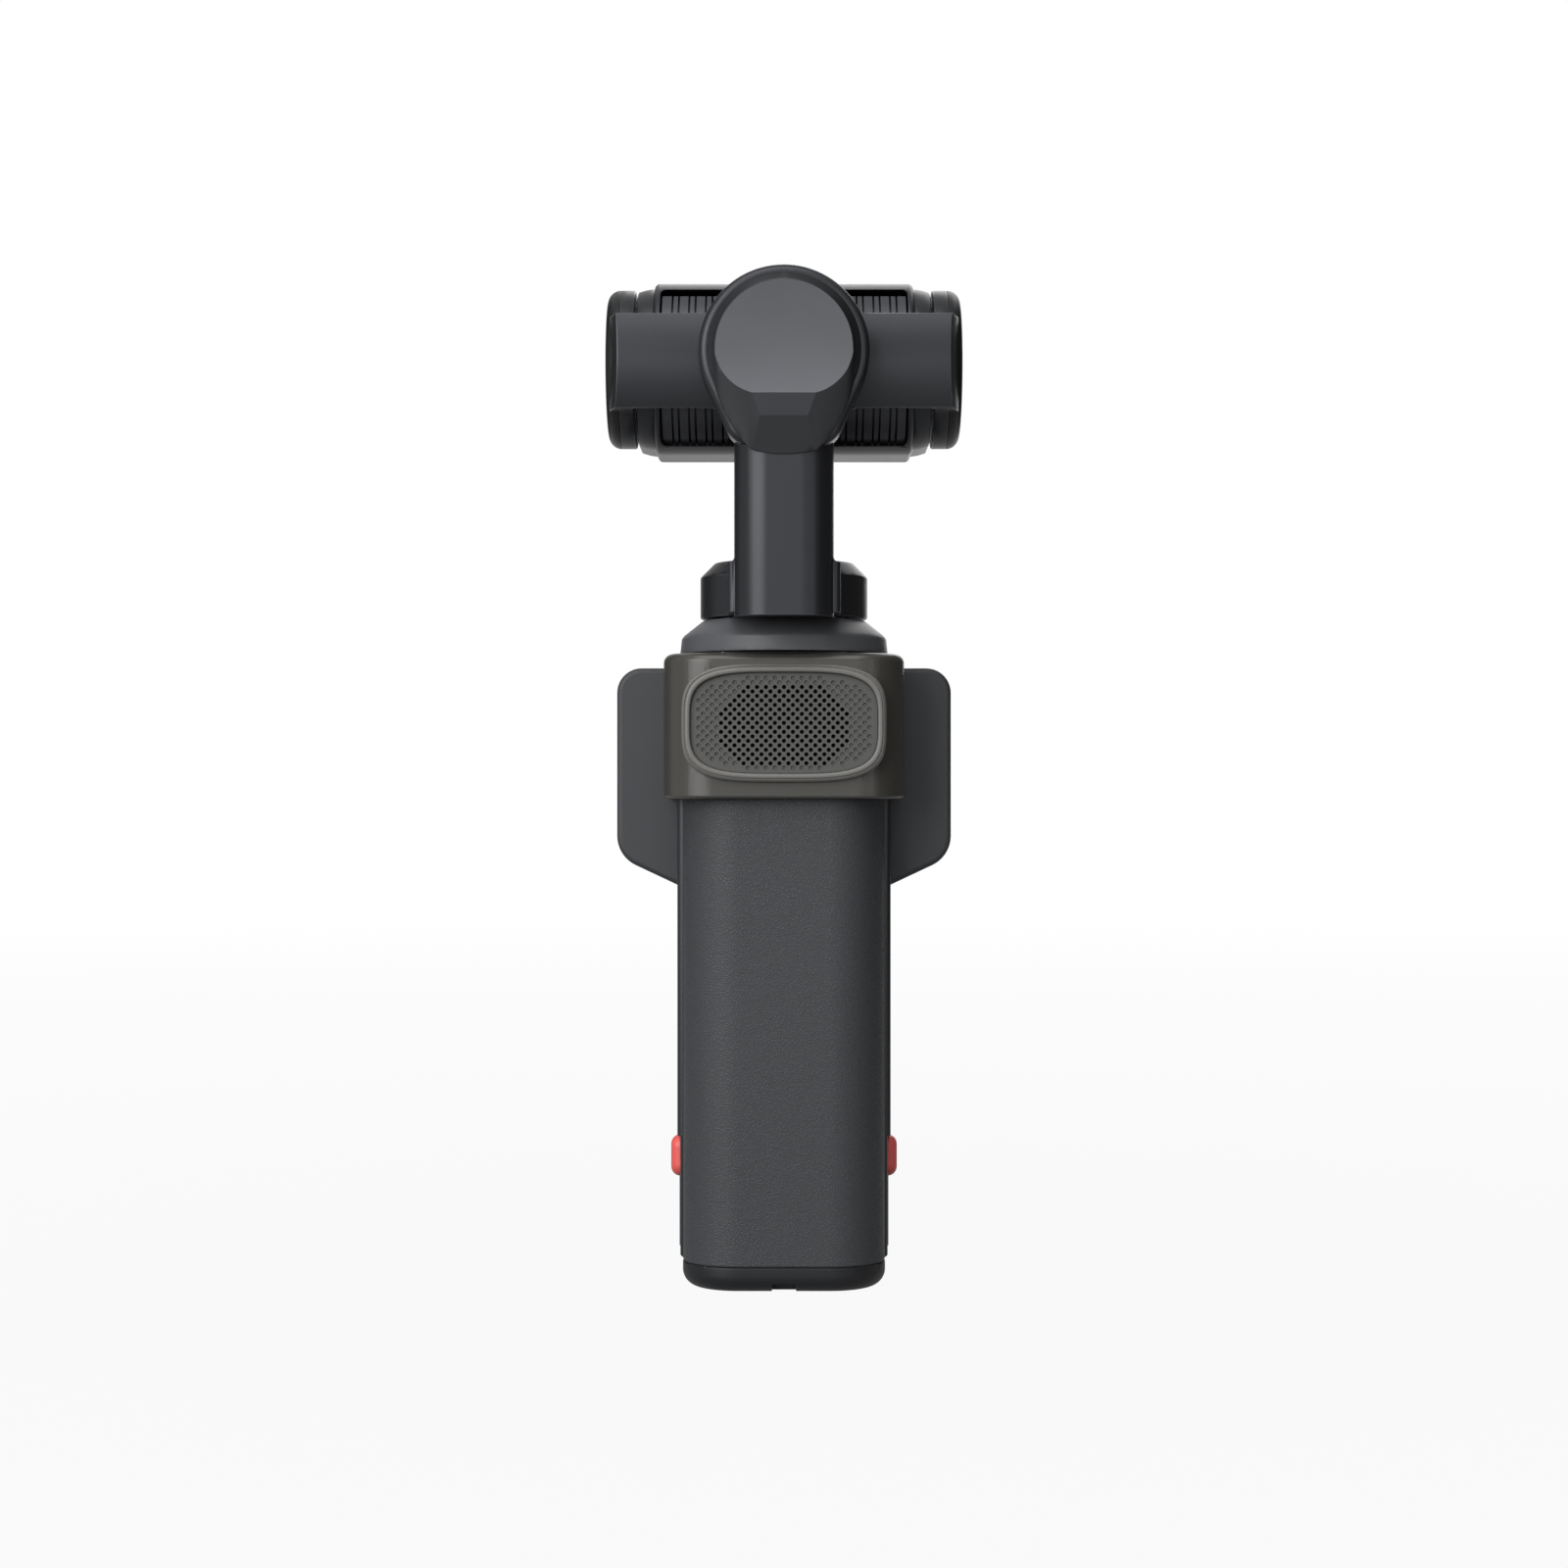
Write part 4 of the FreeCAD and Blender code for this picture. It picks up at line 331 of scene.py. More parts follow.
def patterned(name, pattern, values, plain):
    """A material in a pattern's colour, roughness and normal, with plain values for the rest."""
    material, tree = new_material(name)
    given = add_node(tree, "ShaderNodeGroup", {"Place": place_of(tree), **values},
                     node_tree=GROUPS[pattern]).outputs
    shader = add_node(tree, "ShaderNodeBsdfPrincipled",
                      {"Base Color": given["Colour"], "Roughness": given["Roughness"],
                       "Normal": given["Normal"], **plain})
    show(tree, shader.outputs["BSDF"])
    return material


def grained(name, colour, roughness, grain_size, grain_depth, patches=0.06, **plain):
    """A metal or plastic with a fine grain, whose size and depth are in millimetres."""
    return patterned(name, "blasted",
                     {"Colour": (*colour, 1.0), "Roughness": roughness, "Patches": patches,
                      "Grain Size": grain_size * MM, "Grain Depth": grain_depth * MM},
                     {label.replace("_", " "): value for label, value in plain.items()})


def make_finishes():
    metal, grip, latch, guard, screen = map(settings, ("metal", "grip", "latch", "guard", "screen"))
    return {
        "dark_alloy": grained("Anodised alloy", metal.alloy, metal.roughness, 0.12, 0.002,
                              Metallic=0.7),
        "heat_sink_alloy": grained("Heat sink alloy", metal.fins, 0.45, 0.15, 0.003, Metallic=0.6),
        "handle_alloy": grained("Handle alloy", metal.handle, metal.roughness, 0.12, 0.002,
                                Metallic=0.6),
        # Lighter copy of the alloy for the rounded edges: a painted highlight along them
        "edge_highlight_alloy": grained("Alloy edges with painted highlight", [min(1.0, value * 2.2) for value in metal.alloy],
                              metal.roughness - 0.08, 0.5, 0.001, patches=0.2, Metallic=0.8),
        # Lighter tone for the cover's flat disc, partly a painted reflection
        "cover_face_reflection": grained("Cover face and reflection", metal.cover, 0.13, 0.1, 0.0015, Metallic=0.7),
        # Darker copy of the cover metal for facets facing down or aside: painted shade
        "cover_facet_shade": grained("Cover facet shade", metal.slope, 0.4, 0.1, 0.0015, Metallic=0.6),
        "cap_alloy": grained("Motor cap alloy", metal.cap, 0.42, 0.12, 0.002, Metallic=0.6),
        "ring_alloy": grained("Neck ring alloy", metal.ring, 0.42, 0.12, 0.002,
                              Specular_IOR_Level=0.25),
        "grained_grip": patterned(
            "Grip leather", "leather",
            {"Colour": (*grip.colour, 1.0), "Roughness": 0.6, "Cell Size": grip.grain_size,
             "Depth": grip.grain_depth},
            {"Specular IOR Level": 0.35}),
        "dark_plastic": grained("Matt plastic", grip.plastic, 0.52, 0.16, 0.006,
                                Specular_IOR_Level=0.35),
        "base_plastic": grained("Base plastic", grip.base, 0.5, 0.16, 0.006,
                                Specular_IOR_Level=0.25),
        "stick_rubber": grained("Stick rubber", screen.rubber, 0.7, 0.2, 0.01,
                                Specular_IOR_Level=0.3),
        "red_plastic": grained("Red plastic", latch.colour, 0.42, 0.2, 0.003),
        "smoke_plastic": grained("Smoke plastic", guard.colour, 0.32, 0.3, 0.002,
                                 Specular_IOR_Level=0.4),
        "rim_plastic": grained("Rim plastic", guard.rim, 0.4, 0.2, 0.002, Specular_IOR_Level=0.4),
        "grille_steel": grained("Grille plate", guard.grille, 0.5, 0.12, 0.002, Metallic=0.2,
                                Specular_IOR_Level=0.4),
        "foam": grained("Open foam", tone(7, 7, 7), 0.95, 0.3, 0.15, Specular_IOR_Level=0.1),
        "screen_glass": grained("Screen glass", screen.glass, 0.06, 2, 0.0, patches=0.01,
                                Coat_Weight=0.5, Coat_Roughness=0.03),
        "lens_glass": grained("Lens glass", tone(236, 240, 248), 0.02, 2, 0.0, patches=0.01,
                              Transmission_Weight=1.0, IOR=1.52, Thin_Film_Thickness=115.0,
                              Thin_Film_IOR=1.38),
        "lens_metal": grained("Lens barrel", tone(28, 29, 31), 0.38, 0.12, 0.002, Metallic=0.5),
        "bright_steel": grained("Plain steel", metal.steel, 0.28, 0.2, 0.001, Metallic=1.0),
        "motor_steel": grained("Motor steel", tone(128, 128, 130), 0.34, 0.2, 0.002, Metallic=1.0),
        "contact_brass": grained("Gold contacts", tone(226, 186, 104), 0.24, 0.2, 0.0005,
                                 Metallic=1.0),
        "circuit_board": grained("Circuit board", tone(22, 50, 38), 0.4, 0.6, 0.01),
        "battery_wrap": grained("Battery wrap", tone(40, 44, 52), 0.5, 0.8, 0.006),
    }


FINISHES = {}


# Meshes

def link(name, data):
    item = bpy.data.objects.new(name, data)
    bpy.context.scene.collection.objects.link(item)
    return item


def settle(piece, node):
    """Hands a finished piece over in a node's place: on its body, instead of it."""
    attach(piece, BODY_OF[node])
    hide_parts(node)


def baked(piece):
    """The piece with its modifiers worked into a plain mesh."""
    depsgraph = bpy.context.evaluated_depsgraph_get()
    mesh = bpy.data.meshes.new_from_object(piece.evaluated_get(depsgraph))
    old = piece.data
    piece.modifiers.clear()
    piece.data = mesh
    bpy.data.meshes.remove(old)
    return piece


def as_mesh(work, name):
    mesh = bpy.data.meshes.new(name)
    work.to_mesh(mesh)
    work.free()
    return mesh


def soften_shading(mesh, angle):
    mesh.shade_smooth()
    mesh.set_sharp_from_angle(angle=angle)


def merged_copy(node):
    """The mesh of a CAD node with its loose triangles joined into whole faces."""
    mesh = frame["nodes"][node].data.copy()
    mesh.materials.clear()
    work = bmesh.new()
    work.from_mesh(mesh)
    bmesh.ops.remove_doubles(work, verts=work.verts, dist=WELD_DISTANCE)
    bmesh.ops.dissolve_limit(work, angle_limit=FLAT_ANGLE, verts=work.verts, edges=work.edges)
    work.to_mesh(mesh)
    work.free()
    return mesh


def crisp_facets(mesh, smallest):
    """Marks the edges of the large facets sharp, however flat the angle to the next face is."""
    owners = {}
    for face in mesh.polygons:
        for key in face.edge_keys:
            owners.setdefault(key, []).append(face)
    for edge in mesh.edges:
        faces = owners.get(tuple(sorted(edge.vertices)), [])
        if len(faces) == 2 and max(face.area for face in faces) > smallest:
            if faces[0].normal.angle(faces[1].normal) > FACET_ANGLE:
                edge.use_edge_sharp = True


def true_round(mesh, depth, height, radius):
    """Shades the faces that lie on a cylinder along X as that cylinder."""
    tolerance = 0.03 * MM
    normals = [tuple(corner.vector) for corner in mesh.corner_normals]
    for face in mesh.polygons:
        corners = [mesh.vertices[index].co for index in face.vertices]
        off = max(abs(math.hypot(place.y - depth, place.z - height) - radius)
                  for place in corners)
        if off < tolerance:
            for loop, place in zip(face.loop_indices, corners):
                normals[loop] = (0.0, (place.y - depth) / radius, (place.z - height) / radius)
    mesh.normals_split_custom_set(normals)


def reach_from(edge, face):
    """How far a face reaches from one of its edges."""
    start = edge.verts[0].co
    along = (edge.verts[1].co - start).normalized()
    return max((corner.co - start).cross(along).length for corner in face.verts)


def weigh_edges(mesh, width, plain):
    """Bevel weights: 1 on a sharp edge, less beside a narrow face, 0 where plain() says."""
    full_room = 2.5 * width
    work = bmesh.new()
    work.from_mesh(mesh)
    layer = work.edges.layers.float.new("bevel_weight_edge")
    for edge in work.edges:
        if len(edge.link_faces) == 2 and edge.calc_face_angle() > EDGE_ANGLE:
            if not plain or not plain((edge.verts[0].co + edge.verts[1].co) / 2):
                room = min(reach_from(edge, face) for face in edge.link_faces)
                edge[layer] = min(1.0, room / full_room)
    work.to_mesh(mesh)
    work.free()


def softened(node, name, width, finish=None, edge_highlight=None, facets=0.0, weighted=True, plain=None):
    """A copy of a CAD node with its sharp edges rounded, which the node's piece then stands for."""
    mesh = merged_copy(node)
    piece = link(name, mesh)
    mesh.materials.append(FINISHES[finish or SLOT_OF[node]])
    weigh_edges(mesh, width, plain)
    bevel = piece.modifiers.new("Edges", "BEVEL")
    bevel.width = width
    bevel.segments = 2
    bevel.limit_method = "WEIGHT"
    bevel.use_clamp_overlap = False
    bevel.miter_outer = "MITER_ARC"
    # The rounded edges take a second, lighter finish: a painted highlight
    if edge_highlight:
        mesh.materials.append(FINISHES[edge_highlight])
        bevel.material = 1
    baked(piece)
    soften_shading(piece.data, EDGE_ANGLE)
    if facets:
        crisp_facets(piece.data, facets)
    if weighted:
        # Large flat faces keep their own direction, and the round ones beside them take it up
        normals = piece.modifiers.new("Normals", "WEIGHTED_NORMAL")
        normals.weight = 100
        normals.keep_sharp = True
        baked(piece)
    settle(piece, node)
    return piece


def round_angles(steps):
    return [2 * math.pi * step / steps for step in range(steps)]


def superellipse(half_width, half_height, power, steps):
    """Points round a superellipse, anticlockwise."""
    points = []
    for angle in round_angles(steps):
        across, rise = math.cos(angle), math.sin(angle)
        points.append((math.copysign(abs(across) ** (2 / power), across) * half_width,
                       math.copysign(abs(rise) ** (2 / power), rise) * half_height))
    return points


def ribbed_circle(radius, steps, cut=0.0, ribs=0):
    """Points round a circle that is cut this deep between one rib and the next."""
    points = []
    for angle in round_angles(steps):
        reach = radius - cut * (0.5 - 0.5 * math.cos(ribs * angle))
        points.append((reach * math.cos(angle), reach * math.sin(angle)))
    return points


def bridge(work, one, other):
    """Faces between two loops with the same number of points."""
    for i in range(len(one)):
        following = (i + 1) % len(one)
        work.faces.new((one[i], one[following], other[following], other[i]))


def skin(name, loops, finish, ends=False, closed=False):
    """A smooth piece through a row of loops of points, all with the same number of points."""
    work = bmesh.new()
    rings = [[work.verts.new(point) for point in loop] for loop in loops]
    pairs = list(zip(rings, rings[1:]))
    if closed:
        pairs.append((rings[-1], rings[0]))
    for one, other in pairs:
        bridge(work, one, other)
    if ends:
        work.faces.new(rings[0])
        work.faces.new(rings[-1])
    bmesh.ops.recalc_face_normals(work, faces=work.faces)
    mesh = as_mesh(work, name)
    mesh.materials.append(FINISHES[finish])
    soften_shading(mesh, SKIN_ANGLE)
    return link(name, mesh)


def turned(name, profile, centre, finish, steps, ribs=0):
    """A piece turned about a line along Y: profile holds radius and depth, centre holds x and z.

    A third value in a row is how deep the ribs round the edge are cut there. A profile starts and
    ends AXIS_GAP from the axis."""
    loops = [[(centre[0] + x, depth, centre[1] + z)
              for x, z in ribbed_circle(radius, steps, *cut, ribs=ribs)]
             for radius, depth, *cut in profile]
    return skin(name, loops, finish, ends=True)


def axis_of(node):
    """Radius of a round node, its middle in x and z, and its ends in y."""
    low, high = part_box(node)
    return (high.x - low.x) / 2, ((low.x + high.x) / 2, (low.z + high.z) / 2), low.y, high.y


# Lenses

def make_lens(name):
    """Barrel with a fine front ring and ridged throat, and a domed front glass over it."""
    lens = settings("lens")
    barrel, glass = name + "_lens_barrel", name + "_lens_glass"
    radius, centre, front, rear = axis_of(barrel)
    rim, _, crown, seat = axis_of(glass)
    shoulder = front + lens.front_depth
    body = radius - lens.step
    bore = rim - lens.ledge
    throat = rim + lens.ledge / 2
    mouth = radius - 1.3 * MM
    well = seat + lens.well_depth
    ridges, rings, steps = 5, 10, 96
    profile = [(AXIS_GAP, rear), (body, rear), (body, shoulder), (radius, shoulder)]
    profile += [(radius - inset * MM, front + depth * MM)
                for inset, depth in ((0, 0.3), (0.1, 0.1), (0.3, 0), (0.8, 0), (0.86, 0.08),
                                     (0.98, 0.08), (1.04, 0))]
    for ridge in range(ridges):
        share = ridge / ridges
        reach = mouth + (throat - mouth) * share
        depth = front + (seat - front) * share
        profile += [(reach, depth), (reach, depth + (seat - front) / ridges * 0.7)]
    profile += [(throat, seat), (bore, seat)]
    profile += [(bore - inset * MM, seat + depth * MM)
                for inset, depth in ((0, 0.4), (0.3, 0.45), (0.3, 0.9), (0.9, 1))]
    profile += [(bore - 0.9 * MM, well), (rim * 0.42, well), (rim * 0.4, well - 0.25 * MM),
                (rim * 0.25, well - 0.4 * MM), (AXIS_GAP, well - 0.5 * MM)]
    piece = turned(name + "_barrel", profile, centre, "lens_metal", steps)
    settle(piece, barrel)
    base = seat - 0.1 * MM
    dome = [(AXIS_GAP, seat), (rim - 0.12 * MM, seat), (rim, seat - 0.06 * MM)]
    for ring in range(rings, 0, -1):
        share = ring / rings
        dome.append((rim * share, base - (base - crown) * (1 - share ** 2)))
    dome.append((AXIS_GAP, crown))
    piece = turned(name + "_front_glass", dome, centre, "lens_glass", steps)
    settle(piece, glass)


# Joystick

def make_stick():
    """Rubber cap with a ribbed edge and a dished middle, on its stem."""
    stick = settings("stick")
    radius, centre, front, rear = axis_of("joystick_cap")
    behind = front + stick.thickness
    cut = stick.rib_depth
    profile = [(AXIS_GAP, rear), (stick.stem_radius, rear), (stick.stem_radius, behind),
               (radius - 0.25 * MM, behind), (radius, behind - 0.25 * MM, cut),
               (radius, front + 0.75 * MM, cut), (radius - 0.12 * MM, front + 0.38 * MM, cut / 2)]
    profile += [(radius - inset * MM, front + depth * MM)
                for inset, depth in ((0.4, 0.12), (0.8, 0), (1.3, 0.02))]
    profile += [(stick.dish_radius * share, front + depth * MM)
                for share, depth in ((1, 0.14), (0.8, 0.36), (0.5, 0.47))]
    profile.append((AXIS_GAP, front + 0.5 * MM))
    cap = turned("stick_cap", profile, centre, "stick_rubber", steps=192, ribs=32)
    settle(cap, "joystick_cap")


# Geometry Nodes

def on_points(tree, start, label, **choice):
    """Copies of the object in the input with that label, one on each chosen point."""
    info = add_node(tree, "GeometryNodeObjectInfo", {"Object": start[label]})
    return add_node(tree, "GeometryNodeInstanceOnPoints",
                    {"Points": start["Points"], "Instance": info.outputs["Geometry"],
                     **choice}).outputs["Instances"]


def realized(tree, instances):
    return add_node(tree, "GeometryNodeRealizeInstances",
                    {"Geometry": instances}).outputs["Geometry"]


def end_tree(tree, start, end, geometry):
    """Gives out the geometry in the finish that the tree is given."""
    coated = add_node(tree, "GeometryNodeSetMaterial",
                      {"Geometry": geometry, "Material": start["Finish"]})
    tree.links.new(coated.outputs["Geometry"], end["Result"])


def run_tree(piece, tree, values):
    """Runs a Geometry Nodes tree on the piece with these named inputs, and keeps the plain mesh."""
    modifier = piece.modifiers.new("Nodes", "NODES")
    modifier.node_group = tree
    for item in tree.interface.items_tree:
        if item.in_out == "INPUT" and item.name in values:
            modifier[item.identifier] = values[item.name]
    return baked(piece)


# Screws

def make_screw_tree():
    """Puts one screw on every point."""
    tree, start, end = new_group(
        "GeometryNodeTree", "Screws",
        [("Points", "Geometry"), ("Screw", "Object"), ("Finish", "Material")],
        [("Result", "Geometry")])
    end_tree(tree, start, end, realized(tree, on_points(tree, start, "Screw")))
    return tree


def screw_shape(length, screw):
    """A screw that points up from its head at height 0: six-lobed socket, ridged shank."""
    head, shank = screw.head_radius, screw.shank_radius
    socket, core = head * 0.55, shank * 0.8
    lobe_cut = 0.13
    # Radius, height and whether the row is lobed
    rows = [(AXIS_GAP, 0.6 * MM, 0), (socket, 0.6 * MM, 1), (socket, 0.06 * MM, 1),
            (socket + 0.08 * MM, 0, 1), (head - 0.15 * MM, 0, 0), (head, 0.15 * MM, 0),
            (head, screw.head_height, 0), (shank, screw.head_height, 0)]
    height = screw.head_height + 0.3 * MM
    while height + screw.pitch < length:
        rows += [(shank, height, 0), (core, height + screw.pitch / 2, 0)]
        height += screw.pitch
    rows += [(core, length - 0.15 * MM, 0), (shank * 0.6, length, 0)]
    loops = [[(x, y, height)
              for x, y in ribbed_circle(radius, 48, cut=radius * lobe_cut * lobed, ribs=6)]
             for radius, height, lobed in rows]
    return skin("screw", loops, "bright_steel", ends=True)


def make_screws():
    sizes = settings("screw")
    low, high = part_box("cap_screws")
    depth, head = (low.y + high.y) / 2, sizes.head_radius
    screw = screw_shape(high.z - low.z, sizes)
    points = bpy.data.meshes.new("screw_points")
    points.from_pydata([(low.x + head, depth, low.z), (high.x - head, depth, low.z)], [], [])
    screws = link("base_screws", points)
    run_tree(screws, make_screw_tree(), {"Screw": screw, "Finish": FINISHES["bright_steel"]})
    bpy.data.objects.remove(screw)
    settle(screws, "cap_screws")


# Yoke and roll motor cover

def make_yoke():
    """Bar with a crowned back. Its flat hub runs out into the crown, so that edge stays sharp."""
    metal = settings("metal")
    low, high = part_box("tilt_motor_cap")
    height = (low.z + high.z) / 2

    def on_hub(place):
        off = abs(math.hypot(place.x, place.z - height) - metal.hub_radius)
        return off < 0.15 * MM and place.y > metal.yoke_back - 2.5 * MM

    # Its rounded edges take the lighter alloy, a painted highlight
    yoke = softened("yoke", "yoke_finished", metal.edge_radius, edge_highlight="edge_highlight_alloy", weighted=False,
                    plain=on_hub)
    true_round(yoke.data, metal.yoke_back - metal.yoke_crown, height, metal.yoke_crown)


def make_roll_cover():
    """Faceted cover round a disc: facets that face down or aside take a dark tone as painted shade,
    and the large flat disc a light tone that is partly a painted reflection.
    """
    cover = softened("roll_cover", "roll_cover_finished", 0.08 * MM, facets=4 * MM * MM)
    for finish in ("cover_face_reflection", "cover_facet_shade"):
        cover.data.materials.append(FINISHES[finish])
    least_disc, flat, lean_down, lean_aside = 100 * MM * MM, 0.9999, -0.1, 0.04
    for face in cover.data.polygons:
        # The large flat disc takes the light tone, partly a painted reflection
        if face.normal.y > flat and face.area > least_disc:
            face.material_index = 1
        # Facets that face down or aside take the dark tone: painted shade
        elif face.normal.z < lean_down or abs(face.normal.x) > lean_aside:
            face.material_index = 2


# Perforated grille

def hole_tile(name, radius, depth, through):
    """One diamond of the plate with a hole in its middle, at the origin, its face at height 0."""
    guard = settings("guard")
    sides = guard.sides
    work = bmesh.new()
    corners, *rings = [
        [work.verts.new((x, y, height)) for x, y in ribbed_circle(reach, steps)]
        for reach, height, steps in ((guard.spacing / 2, 0, 4), (radius, 0, sides),
                                     (radius * 0.82, -depth * 0.3, sides),
                                     (radius * 0.78, -depth, sides))]
    per_side = sides // 4
    middle = per_side // 2
    for quarter in range(4):
        here, there = corners[quarter], corners[(quarter + 1) % 4]
        arc = [rings[0][(quarter * per_side + i) % sides] for i in range(per_side + 1)]
        for i in range(per_side):
            work.faces.new((here if i < middle else there, arc[i + 1], arc[i]))
        work.faces.new((here, there, arc[middle]))
    for upper, lower in zip(rings, rings[1:]):
        bridge(work, upper, lower)
    if not through:
        work.faces.new(rings[-1])
    bmesh.ops.recalc_face_normals(work, faces=work.faces)
    if sum(face.normal.z for face in work.faces) < 0:
        bmesh.ops.reverse_faces(work, faces=work.faces)
    return link(name, as_mesh(work, name))


def make_perforation_tree():
    """Puts a tile on every point: one kind where the point is marked, the other elsewhere."""
    tree, start, end = new_group(
        "GeometryNodeTree", "Perforations",
        [("Points", "Geometry"), ("Hole", "Object"), ("Dimple", "Object"),
         ("Weld Distance", "Float"), ("Finish", "Material")],
        [("Result", "Geometry")])
    marked = add_node(tree, "GeometryNodeInputNamedAttribute", {"Name": "through"},
                      data_type="BOOLEAN").outputs["Attribute"]
    unmarked = add_node(tree, "FunctionNodeBooleanMath", {0: marked}, operation="NOT")
    join = tree.nodes.new("GeometryNodeJoinGeometry")
    for label, chosen in (("Hole", marked), ("Dimple", unmarked.outputs[0])):
        tree.links.new(on_points(tree, start, label, Selection=chosen), join.inputs["Geometry"])
    weld = add_node(tree, "GeometryNodeMergeByDistance",
                    {"Geometry": realized(tree, join.outputs["Geometry"]),
                     "Distance": start["Weld Distance"]})
    end_tree(tree, start, end, weld.outputs["Geometry"])
    return tree


def spans_of(node):
    """Ends of a flat node in y, its middle, and half its width and height."""
    low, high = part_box(node)
    return low.y, high.y, (low + high) / 2, (high.x - low.x) / 2, (high.z - low.z) / 2


def ovals(rows, centre, steps):
    """Superellipses that stand upright: each row holds half a width, half a height and a depth."""
    power = settings("guard").squareness
    return [[(centre.x + x, depth, centre.z + z)
             for x, z in superellipse(half_width, half_height, power, steps)]
            for half_width, half_height, depth in rows]


def make_grille_rim():
    """Raised rim: a grey bevel, a fine groove and a bright inner ring."""
    rear, top, centre, half_width, half_height = spans_of("grille_rim")
    # Inset and drop, in millimetres
    section = ((0, 0.62), (0.14, 0.28), (0.36, 0.12), (0.42, 0.26), (0.5, 0.26), (0.56, 0.08),
               (0.7, 0), (1.02, 0), (1.2, 0.08), (1.28, 0.3))
    profile = [(0.0, rear), *((inset * MM, top - drop * MM) for inset, drop in section),
               (section[-1][0] * MM, rear)]
    loops = ovals([(half_width - inset, half_height - inset, depth) for inset, depth in profile],
                  centre, 96)
    rim = skin("rim", loops, "rim_plastic", closed=True)
    settle(rim, "grille_rim")


def make_foam():
    """Foam pad under the grille, crowned towards the holes and drawn in at its edges."""
    rear, top, centre, half_width, half_height = spans_of("wind_foam")
    # Share of the width and height, and share of the depth
    section = ((0.06, 0.02), (0.55, 0.0), (0.85, 0.03), (0.97, 0.25), (0.985, 0.5), (0.97, 0.7),
               (0.9, 0.86), (0.72, 0.95), (0.45, 0.985), (0.2, 0.995), (0.05, 1.0))
    loops = ovals([(half_width * scale, half_height * scale, rear + level * (top - rear))
                   for scale, level in section], centre, 72)
    foam = skin("foam_pad", loops, "foam", ends=True)
    settle(foam, "wind_foam")


def hole_places(half_width, half_height):
    """Middles of all the holes, row by row, and which of them go through."""
    guard = settings("guard")
    spacing, power = guard.spacing, guard.squareness
    rows = int(half_height / (spacing / 2))
    columns = int(half_width / spacing) + 1
    margin = 0.75 * MM
    inner_width, inner_height = half_width - margin, half_height - margin
    zone_width, zone_height, zone_corner, zone_rise = 9.85 * MM, 5.97 * MM, 3.75 * MM, 0.35 * MM
    places = []
    for row in range(-rows, rows + 1):
        for column in range(-columns, columns + 1):
            x = (column + (0.5 if row % 2 else 0.0)) * spacing
            z = row * spacing / 2
            if abs(x / inner_width) ** power + abs(z / inner_height) ** power <= 1:
                places.append((x, z))
    through = [abs(x) <= zone_width and abs(z - zone_rise) <= zone_height
               and abs(x) + abs(z - zone_rise) <= zone_width + zone_height - zone_corner
               for x, z in places]
    return places, through


def fill_round(work, half_width, half_height, thickness):
    """Carries the plate on from its outer tiles to its oval edge, and gives that edge its wall."""
    level = 0.0001 * MM
    tile_edges = [edge for edge in work.edges if edge.is_boundary
                  and all(abs(vertex.co.z) < level for vertex in edge.verts)]
    outline = [work.verts.new((x, z, 0))
               for x, z in superellipse(half_width, half_height, settings("guard").squareness, 96)]
    outer = [work.edges.new(pair) for pair in zip(outline, outline[1:] + outline[:1])]
    filled = bmesh.ops.triangle_fill(work, edges=tile_edges + outer, use_beauty=True)
    for face in filled["geom"]:
        if isinstance(face, bmesh.types.BMFace):
            face.normal_update()
            if face.normal.z < 0:
                face.normal_flip()
            face.smooth = False
    lower = [work.verts.new((vertex.co.x, vertex.co.y, -thickness)) for vertex in outline]
    bridge(work, lower, outline)


def make_grille_plate():
    """Perforated plate: built face up, then turned upright into its place."""
    guard = settings("guard")
    rear, front, centre, half_width, half_height = spans_of("grille_mesh")
    places, through = hole_places(half_width, half_height)
    points = bpy.data.meshes.new("grille_points")
    points.from_pydata([(x, z, 0) for x, z in places], [], [])
    marks = points.attributes.new("through", "BOOLEAN", "POINT")
    marks.data.foreach_set("value", through)
    hole = hole_tile("grille_hole", guard.hole_radius, front - rear, True)
    dimple = hole_tile("grille_dimple", guard.dimple_radius, guard.dimple_depth, False)
    plate = link("grille_plate", points)
    run_tree(plate, make_perforation_tree(),
             {"Hole": hole, "Dimple": dimple, "Weld Distance": 0.002 * MM,
              "Finish": FINISHES["grille_steel"]})
    for tile in (hole, dimple):
        bpy.data.objects.remove(tile)
    work = bmesh.new()
    work.from_mesh(plate.data)
    edge_gap = 0.05 * MM
    fill_round(work, half_width - edge_gap, half_height - edge_gap, front - rear)
    turn = Matrix.Rotation(-math.pi / 2, 4, "X")
    place = Matrix.Translation(Vector((centre.x, front, centre.z)))
    mirror = Matrix.Diagonal((-1.0, 1.0, 1.0, 1.0))
    bmesh.ops.transform(work, matrix=place @ turn @ mirror, verts=work.verts)
    bmesh.ops.reverse_faces(work, faces=work.faces)
    work.to_mesh(plate.data)
    work.free()
    plate.data.materials.clear()
    plate.data.materials.append(FINISHES["grille_steel"])
    settle(plate, "grille_mesh")


# Stage

def make_room():
    world = bpy.data.worlds.new("Studio")
    bpy.context.scene.world = world
    world.use_nodes = True
    tree = world.node_tree
    tree.nodes.clear()
    level = add_node(tree, "ShaderNodeMapRange",
                     {"Value": seen_share(tree, 1.0, mirrored=0.6),
                      "To Min": settings("stage").room_light, "To Max": 1.0})
    background = add_node(tree, "ShaderNodeBackground",
                          {"Color": (1, 1, 1, 1), "Strength": level.outputs["Result"]})
    show(tree, background.outputs["Background"], "World")


